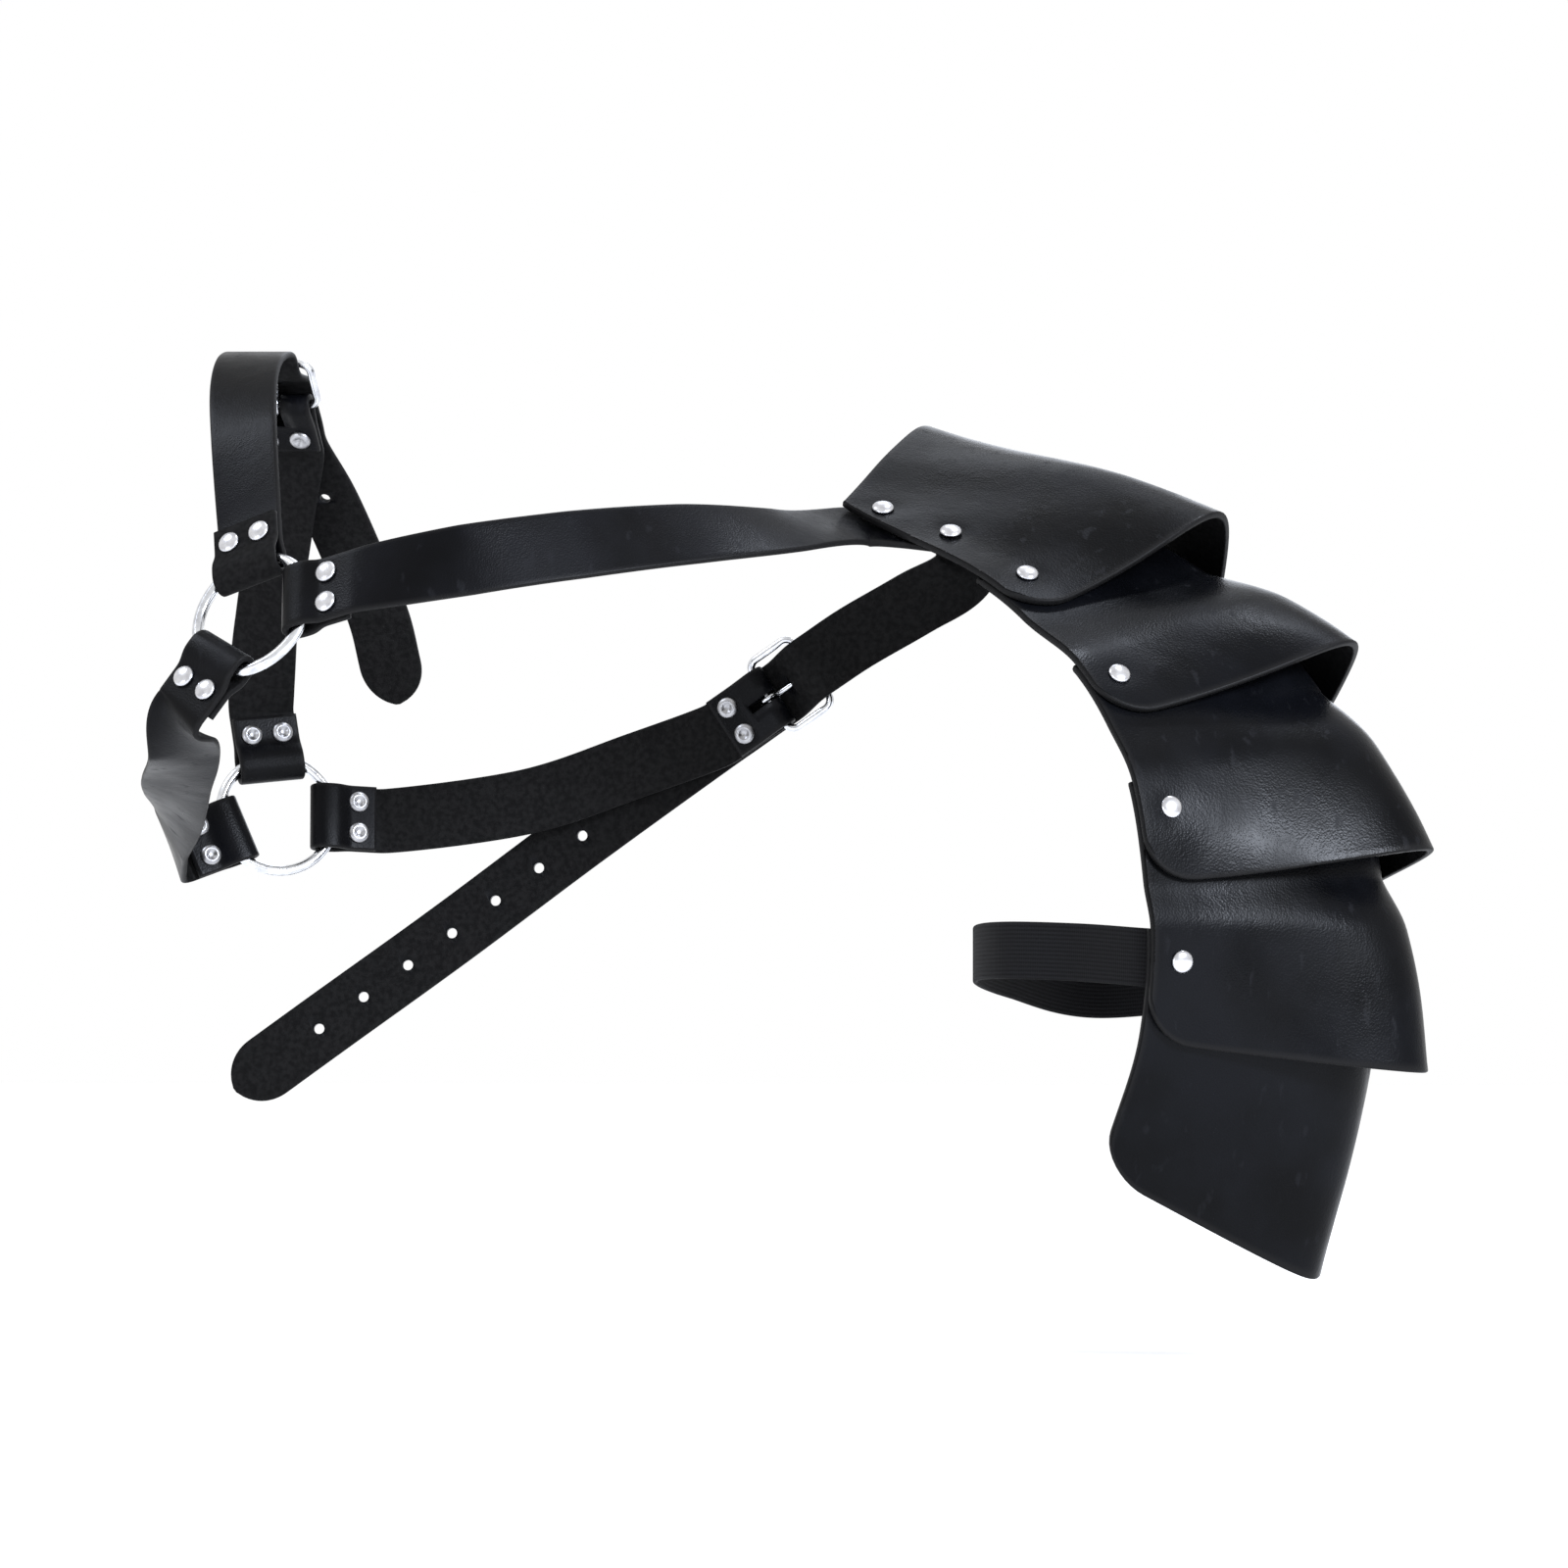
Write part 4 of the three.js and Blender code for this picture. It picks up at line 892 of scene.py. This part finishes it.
for name, stations in STRAPS.items():
    points, faces, marks, _ = strap_body(stations, STRAP_WIDTH, STRAP_LEATHER, STRAP_EDGE)
    strap = new_piece(f"{name}_leather", points, faces, strap_leather, [name], marks)
    if name in CUTS:
        cut(strap, CUTS[name])

# Rings: two welded rings of 4 mm bright nickelled wire that join the straps before and behind.
# They hang loose in the straps' folds and are polished all over.
RING_STEPS = 120
HANDLED_TINT = (0.72, 0.72, 0.74)


def shaded(nodes, links, value, shader, stops):
    """The shader's colour follows a value between two stops, each a place and a colour."""
    shade = nodes.new("ShaderNodeValToRGB")
    for element, (place, colour) in zip(shade.color_ramp.elements, stops):
        element.position = place
        element.color = colour
    links.new(value, shade.inputs["Fac"])
    links.new(shade.outputs["Color"], shader.inputs["Base Color"])


def bright_metal(name, colour, rough):
    """Nickel plate with faint handling marks in its gloss."""
    material, nodes, links, shader = new_material(name, {"Metallic": 1})
    handling = set_inputs(nodes.new("ShaderNodeTexNoise"), {"Scale": 320, "Detail": 4})
    links.new(nodes.new("ShaderNodeTexCoord").outputs["Object"], handling.inputs["Vector"])
    gloss = set_inputs(nodes.new("ShaderNodeMapRange"), {"To Min": rough - 0.06, "To Max": rough + 0.1})
    links.new(handling.outputs["Fac"], gloss.inputs["Value"])
    links.new(gloss.outputs["Result"], shader.inputs["Roughness"])
    handled = (*(c * t for c, t in zip(colour, HANDLED_TINT)), 1)
    shaded(nodes, links, handling.outputs["Fac"], shader, [(0.3, handled), (0.62, (*colour, 1))])
    ripple = bumped(nodes, links, handling.outputs["Fac"], strength=0.12, distance=0.0002)
    links.new(ripple.outputs["Normal"], shader.inputs["Normal"])
    return material


def tube(path, upright, radii, sides=20, closed=False):
    """A round bar along a path of places, with a radius at each place."""
    path = np.asarray(path)
    if closed:
        along = np.roll(path, -1, axis=0) - np.roll(path, 1, axis=0)
    else:
        along = np.vstack([path[1] - path[0], path[2:] - path[:-2], path[-1] - path[-2]])
    along = unit(along)
    out = unit(np.cross(along, upright))
    lift = np.cross(out, along)
    turns = np.linspace(0, 2 * math.pi, sides, endpoint=False)[None, :, None]
    radii = np.asarray(radii)[:, None, None]
    points = (
        path[:, None, :]
        + out[:, None, :] * (np.cos(turns) * radii)
        + lift[:, None, :] * (np.sin(turns) * radii)
    ).reshape(-1, 3)
    faces = []
    for i in range(len(path) if closed else len(path) - 1):
        j = (i + 1) % len(path)
        for k in range(sides):
            n = (k + 1) % sides
            faces.append((i * sides + k, i * sides + n, j * sides + n, j * sides + k))
    if not closed:
        faces.append(tuple(reversed(range(sides))))
        faces.append(tuple((len(path) - 1) * sides + k for k in range(sides)))
    return points, facing_out(points, faces)


ring_nickel = bright_metal("bright_ring_nickel", (0.7, 0.71, 0.73), 0.16)
for name, ring in RINGS.items():
    turns = np.linspace(0, 2 * math.pi, RING_STEPS, endpoint=False)
    path = [ring["centre"] + ring_way(ring, a) * RING_RADIUS for a in turns]
    points, faces = tube(path, ring["face"], np.full(len(path), RING_WIRE / 2), closed=True)
    new_piece(f"{name}_ring_wire", points, faces, ring_nickel, [f"{name}_ring"])

# Buckles: heel bar buckles of 3 mm nickelled wire, bent to a rounded rectangle and welded.
# The prong is a thinner wire, bent round the heel bar; its point rests on the outer bar.
BUCKLE_INNER_WIDTH = 28
BUCKLE_CORNER = 4
CORNER_STEPS = 8
PRONG_TAPER = 0.75
PRONG_PAST_BAR = 1
PRONG_EYE = (380, 90)
EYE_STEPS = 40
PIN_STEPS = 20
for name, buckle in BUCKLES.items():
    half_length = BUCKLE_LENGTH / 2
    half_width = (BUCKLE_INNER_WIDTH + BUCKLE_BAR) / 2
    path = []
    for i, (a, b) in enumerate(((1, 1), (-1, 1), (-1, -1), (1, -1))):
        for k in range(CORNER_STEPS + 1):
            angle = (i + k / CORNER_STEPS) * math.pi / 2
            reach = half_length + a * (half_length - BUCKLE_CORNER) + BUCKLE_CORNER * math.cos(angle)
            aside = b * (half_width - BUCKLE_CORNER) + BUCKLE_CORNER * math.sin(angle)
            path.append(buckle_place(buckle, reach, 0, aside))
    points, faces = tube(path, buckle["face"], np.full(len(path), BUCKLE_BAR / 2), closed=True)
    new_piece(f"{name}_buckle_wire", points, faces, ring_nickel, [f"{name}_buckle_frame"])
    eye = BUCKLE_BAR / 2 + SEAT_GAP + PRONG_WIRE / 2
    pin_length = BUCKLE_LENGTH + BUCKLE_BAR / 2 + PRONG_PAST_BAR
    turns = np.radians(np.linspace(*PRONG_EYE, EYE_STEPS))
    path = [buckle_place(buckle, eye * math.cos(a), eye * math.sin(a)) for a in turns]
    path += [buckle_place(buckle, reach, eye) for reach in np.linspace(0, pin_length, PIN_STEPS)[1:]]
    taper = np.concatenate([np.ones(EYE_STEPS), np.linspace(1, PRONG_TAPER, PIN_STEPS - 1)])
    points, faces = tube(path, buckle["side"], taper * PRONG_WIRE / 2, sides=16)
    new_piece(f"{name}_prong_wire", points, faces, ring_nickel, [f"{name}_buckle_prong"])

# Arm band: a woven black elastic tape, 20 mm wide, that goes round the upper arm.
# Its ends lie under the lap of the two lowest lames and are held there by their joint rivets.
BAND_WIDTH = 20
BAND_THICKNESS = 1.8
BAND_EDGE = 0.8
BAND_AIM = 0.8
ROUTES["band"] = [
    (0.04, -0.5, -0.835, -0.4, -1, 0),
    (-0.04, -0.42, -0.83, -0.8, -0.7, 0),
    (-0.09, -0.15, -0.835, -1, -0.1, 0),
    (-0.075, 0.18, -0.86, -0.9, 0.5, 0),
    (0, 0.45, -0.895, -0.5, 0.9, 0),
]


def band_end(sign):
    t, v = rivet_places(LAME_COUNT - 1)[(sign + 1) // 2]
    normal = normal_of(skin_point, np.array([t]), np.array([v]))[0]
    place = skin_point(t, v)[0] - normal * (LAME_LEATHER / 2 + 2 * SEAT_GAP + BAND_THICKNESS / 2)
    to_edge = unit(skin_point(t, v)[0] - skin_point(t, v * BAND_AIM)[0])
    return [(place + to_edge * reach, normal) for reach in (-BAND_WIDTH / 2, 0, BAND_WIDTH / 2)]


ELASTIC_LOOK = {"Roughness": 0.88, "Sheen Weight": 0.02, "Specular IOR Level": 0.1}
ELASTIC_DARK = (0.0015, 0.0015, 0.0018, 1)
ELASTIC_PALE = (0.007, 0.007, 0.008, 1)
RIBS_TO_SCALE = 0.314
RIB_PITCH = 1.4
WEFT_PITCH = 0.9
WEFT_SHARE = 0.45


def woven_elastic():
    """Black elastic: ribs along the tape crossed by fine weft, with a soft nap."""
    material, nodes, links, shader = new_material("black_woven_elastic", ELASTIC_LOOK)
    tape = nodes.new("ShaderNodeUVMap")
    tape.uv_map = "tape"

    def ribs(direction, pitch):
        look = {"Scale": RIBS_TO_SCALE / pitch, "Distortion": 0.4, "Detail Scale": 3}
        wave = set_inputs(nodes.new("ShaderNodeTexWave"), look)
        wave.bands_direction = direction
        links.new(tape.outputs["UV"], wave.inputs["Vector"])
        return wave.outputs["Fac"]

    weave = set_inputs(nodes.new("ShaderNodeMath"), {1: WEFT_SHARE})
    weave.operation = "MULTIPLY_ADD"
    links.new(ribs("X", WEFT_PITCH), weave.inputs[0])
    links.new(ribs("Y", RIB_PITCH), weave.inputs[2])
    shaded(nodes, links, weave.outputs["Value"], shader, [(0, ELASTIC_DARK), (1, ELASTIC_PALE)])
    bump = bumped(nodes, links, weave.outputs["Value"], strength=0.6, distance=0.0003)
    links.new(bump.outputs["Normal"], shader.inputs["Normal"])
    return material


band_stations = free_stations([*band_end(-1), *route_rows("band"), *reversed(band_end(1))])
points, faces, _, uv = strap_body(band_stations, BAND_WIDTH, BAND_THICKNESS, BAND_EDGE)
band = new_piece("arm_band_elastic", points, faces, woven_elastic(), ["arm_band"])
tape_map = band.data.uv_layers.new(name="tape")
corner_points = np.empty(len(band.data.loops), int)
band.data.loops.foreach_get("vertex_index", corner_points)
tape_map.data.foreach_set("uv", uv[corner_points].ravel().astype(np.float32))
band_steps = np.diff(even_stations(band_stations)[0], axis=0)

# Rivets: nickelled double cap rivets, domed outside and dimpled where they were set on the inside.
# A post joins the two caps through every layer that they hold.
DOME_HEIGHT = 1.9
POST_RADIUS = 1.5
CROWN_POWER = 0.85
SOLE_SHARE = 0.08
DIMPLE_FLOOR = 0.22
DIMPLE_RIM = 0.62
BACK_DIMPLE = 0.75
ARM_MIDDLE = vec(30, 0, -150)
CHEST_MIDDLE = vec(-170, 0, -100)


def rivet_tree(material):
    """Caps, and posts below them, on the points of a mesh that carries each rivet's axis and grip."""
    tree = bpy.data.node_groups.new("rivet_caps", "GeometryNodeTree")
    tree.interface.new_socket("Geometry", in_out="INPUT", socket_type="NodeSocketGeometry")
    for socket in ("Cap radius", "Cap height", "Dimple", "Post radius"):
        tree.interface.new_socket(socket, in_out="INPUT", socket_type="NodeSocketFloat")
    tree.interface.new_socket("Geometry", in_out="OUTPUT", socket_type="NodeSocketGeometry")
    nodes, links = tree.nodes, tree.links
    given = nodes.new("NodeGroupInput")
    made = nodes.new("NodeGroupOutput")

    def math_node(operation, a, b=None, c=None):
        node = nodes.new("ShaderNodeMath")
        node.operation = operation
        for socket, value in zip(node.inputs, (a, b, c)):
            if isinstance(value, bpy.types.NodeSocket):
                links.new(value, socket)
            elif value is not None:
                socket.default_value = value
        return node.outputs[0]

    def attribute(name, kind):
        node = nodes.new("GeometryNodeInputNamedAttribute")
        node.data_type = kind
        node.inputs["Name"].default_value = name
        return node.outputs["Attribute"]

    ball = set_inputs(nodes.new("GeometryNodeMeshUVSphere"), {"Segments": 32, "Rings": 20, "Radius": 1})
    parts = nodes.new("ShaderNodeSeparateXYZ")
    links.new(nodes.new("GeometryNodeInputPosition").outputs[0], parts.inputs[0])
    x, y, z = parts.outputs
    from_axis = math_node("SQRT", math_node("MULTIPLY_ADD", x, x, math_node("MULTIPLY", y, y)))
    crown = math_node("POWER", math_node("MAXIMUM", z, 0.0), CROWN_POWER)
    sole = math_node("MULTIPLY", math_node("MINIMUM", z, 0.0), SOLE_SHARE)
    reach = {"From Min": DIMPLE_FLOOR, "From Max": DIMPLE_RIM, "To Min": 1, "To Max": 0}
    pressed = set_inputs(nodes.new("ShaderNodeMapRange"), reach)
    pressed.interpolation_type = "SMOOTHSTEP"
    links.new(from_axis, pressed.inputs["Value"])
    hollow = math_node("MULTIPLY", pressed.outputs["Result"], given.outputs["Dimple"])
    dimpled = math_node("SUBTRACT", crown, math_node("MULTIPLY", hollow, crown))
    height = math_node("MULTIPLY", math_node("ADD", dimpled, sole), given.outputs["Cap height"])
    shaped = nodes.new("ShaderNodeCombineXYZ")
    links.new(math_node("MULTIPLY", x, given.outputs["Cap radius"]), shaped.inputs[0])
    links.new(math_node("MULTIPLY", y, given.outputs["Cap radius"]), shaped.inputs[1])
    links.new(height, shaped.inputs[2])
    cap = nodes.new("GeometryNodeSetPosition")
    links.new(ball.outputs["Mesh"], cap.inputs["Geometry"])
    links.new(shaped.outputs[0], cap.inputs["Position"])

    post = set_inputs(nodes.new("GeometryNodeMeshCylinder"), {"Vertices": 16, "Depth": 1})
    links.new(given.outputs["Post radius"], post.inputs["Radius"])
    lowered = set_inputs(nodes.new("GeometryNodeTransform"), {"Translation": (0, 0, -0.5)})
    links.new(post.outputs["Mesh"], lowered.inputs["Geometry"])

    aligned = nodes.new("FunctionNodeAlignRotationToVector")
    aligned.axis = "Z"
    links.new(attribute("axis", "FLOAT_VECTOR"), aligned.inputs["Vector"])
    stretched = set_inputs(nodes.new("ShaderNodeCombineXYZ"), {"X": 1, "Y": 1})
    links.new(attribute("grip", "FLOAT"), stretched.inputs[2])
    joined = nodes.new("GeometryNodeJoinGeometry")
    for shape, scale in ((cap, None), (lowered, stretched.outputs[0])):
        placed = nodes.new("GeometryNodeInstanceOnPoints")
        links.new(given.outputs["Geometry"], placed.inputs["Points"])
        links.new(shape.outputs["Geometry"], placed.inputs["Instance"])
        links.new(aligned.outputs["Rotation"], placed.inputs["Rotation"])
        if scale:
            links.new(scale, placed.inputs["Scale"])
        links.new(placed.outputs["Instances"], joined.inputs["Geometry"])
    real = nodes.new("GeometryNodeRealizeInstances")
    links.new(joined.outputs["Geometry"], real.inputs["Geometry"])
    rounded = nodes.new("GeometryNodeSetShadeSmooth")
    links.new(real.outputs["Geometry"], rounded.inputs["Geometry"])
    finish = set_inputs(nodes.new("GeometryNodeSetMaterial"), {"Material": material})
    links.new(rounded.outputs["Geometry"], finish.inputs["Geometry"])
    links.new(finish.outputs["Geometry"], made.inputs["Geometry"])
    return tree


def rivet_axis(node):
    """Middle, outward axis and cap to cap length of a rivet, from its own solid in the frame."""
    corners_m = np.empty(len(node.data.vertices) * 3)
    node.data.vertices.foreach_get("co", corners_m)
    corners_mm = np.unique(np.round(corners_m.reshape(-1, 3) * 1000, 3), axis=0)
    middle = (corners_mm.max(0) + corners_mm.min(0)) / 2
    spread = np.linalg.eigh(np.cov((corners_mm - corners_mm.mean(0)).T))[1]
    axis = spread[:, 2]
    near_arm = node.name.startswith(("joint", "strap"))
    if axis @ (middle - (ARM_MIDDLE if near_arm else CHEST_MIDDLE)) < 0:
        axis = -axis
    heights = (corners_mm - middle) @ axis
    return middle + axis * (heights.max() + heights.min()) / 2, axis, heights.max() - heights.min()


def rivet_caps(name, material, dimple, way):
    """The caps of one side of every rivet: way is 1 for the domes outside and -1 for the backs."""
    nodes = [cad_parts[n] for n in sorted(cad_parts) if "rivet" in n]
    points, axes, grips = [], [], []
    for middle, axis, length in map(rivet_axis, nodes):
        grip = length - 2 * CAP_HEIGHT - 2 * SEAT_GAP
        points.append(middle + axis * way * grip / 2)
        axes.append(axis * way)
        grips.append(grip / 2)
    mesh = bpy.data.meshes.new(name)
    mesh.from_pydata(np.array(points).tolist(), [], [])
    mesh.attributes.new("axis", "FLOAT_VECTOR", "POINT").data.foreach_set("vector", np.ravel(axes))
    mesh.attributes.new("grip", "FLOAT", "POINT").data.foreach_set("value", grips)
    seeds = bpy.data.objects.new(name, mesh)
    scene.collection.objects.link(seeds)
    caps = seeds.modifiers.new("caps", "NODES")
    caps.node_group = rivet_tree(material)
    sizes = {"Cap radius": CAP_RADIUS, "Cap height": DOME_HEIGHT, "Dimple": dimple}
    sizes["Post radius"] = POST_RADIUS
    for socket in caps.node_group.interface.items_tree:
        if socket.name in sizes:
            caps[socket.identifier] = sizes[socket.name]
    evaluated = seeds.evaluated_get(bpy.context.evaluated_depsgraph_get())
    made = bpy.data.meshes.new_from_object(evaluated)
    seeds.modifiers.remove(caps)
    made.transform(Matrix.Scale(0.001, 4))
    seeds.data = made
    bpy.data.meshes.remove(mesh)
    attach(seeds, "root")
    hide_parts(*[node.name for node in nodes])


dome_nickel = bright_metal("bright_rivet_nickel", (0.66, 0.66, 0.68), 0.24)
rivet_caps("rivet_domes", dome_nickel, dimple=0, way=1)
back_nickel = bright_metal("dull_rivet_nickel", (0.42, 0.42, 0.43), 0.34)
rivet_caps("rivet_backs", back_nickel, dimple=BACK_DIMPLE, way=-1)
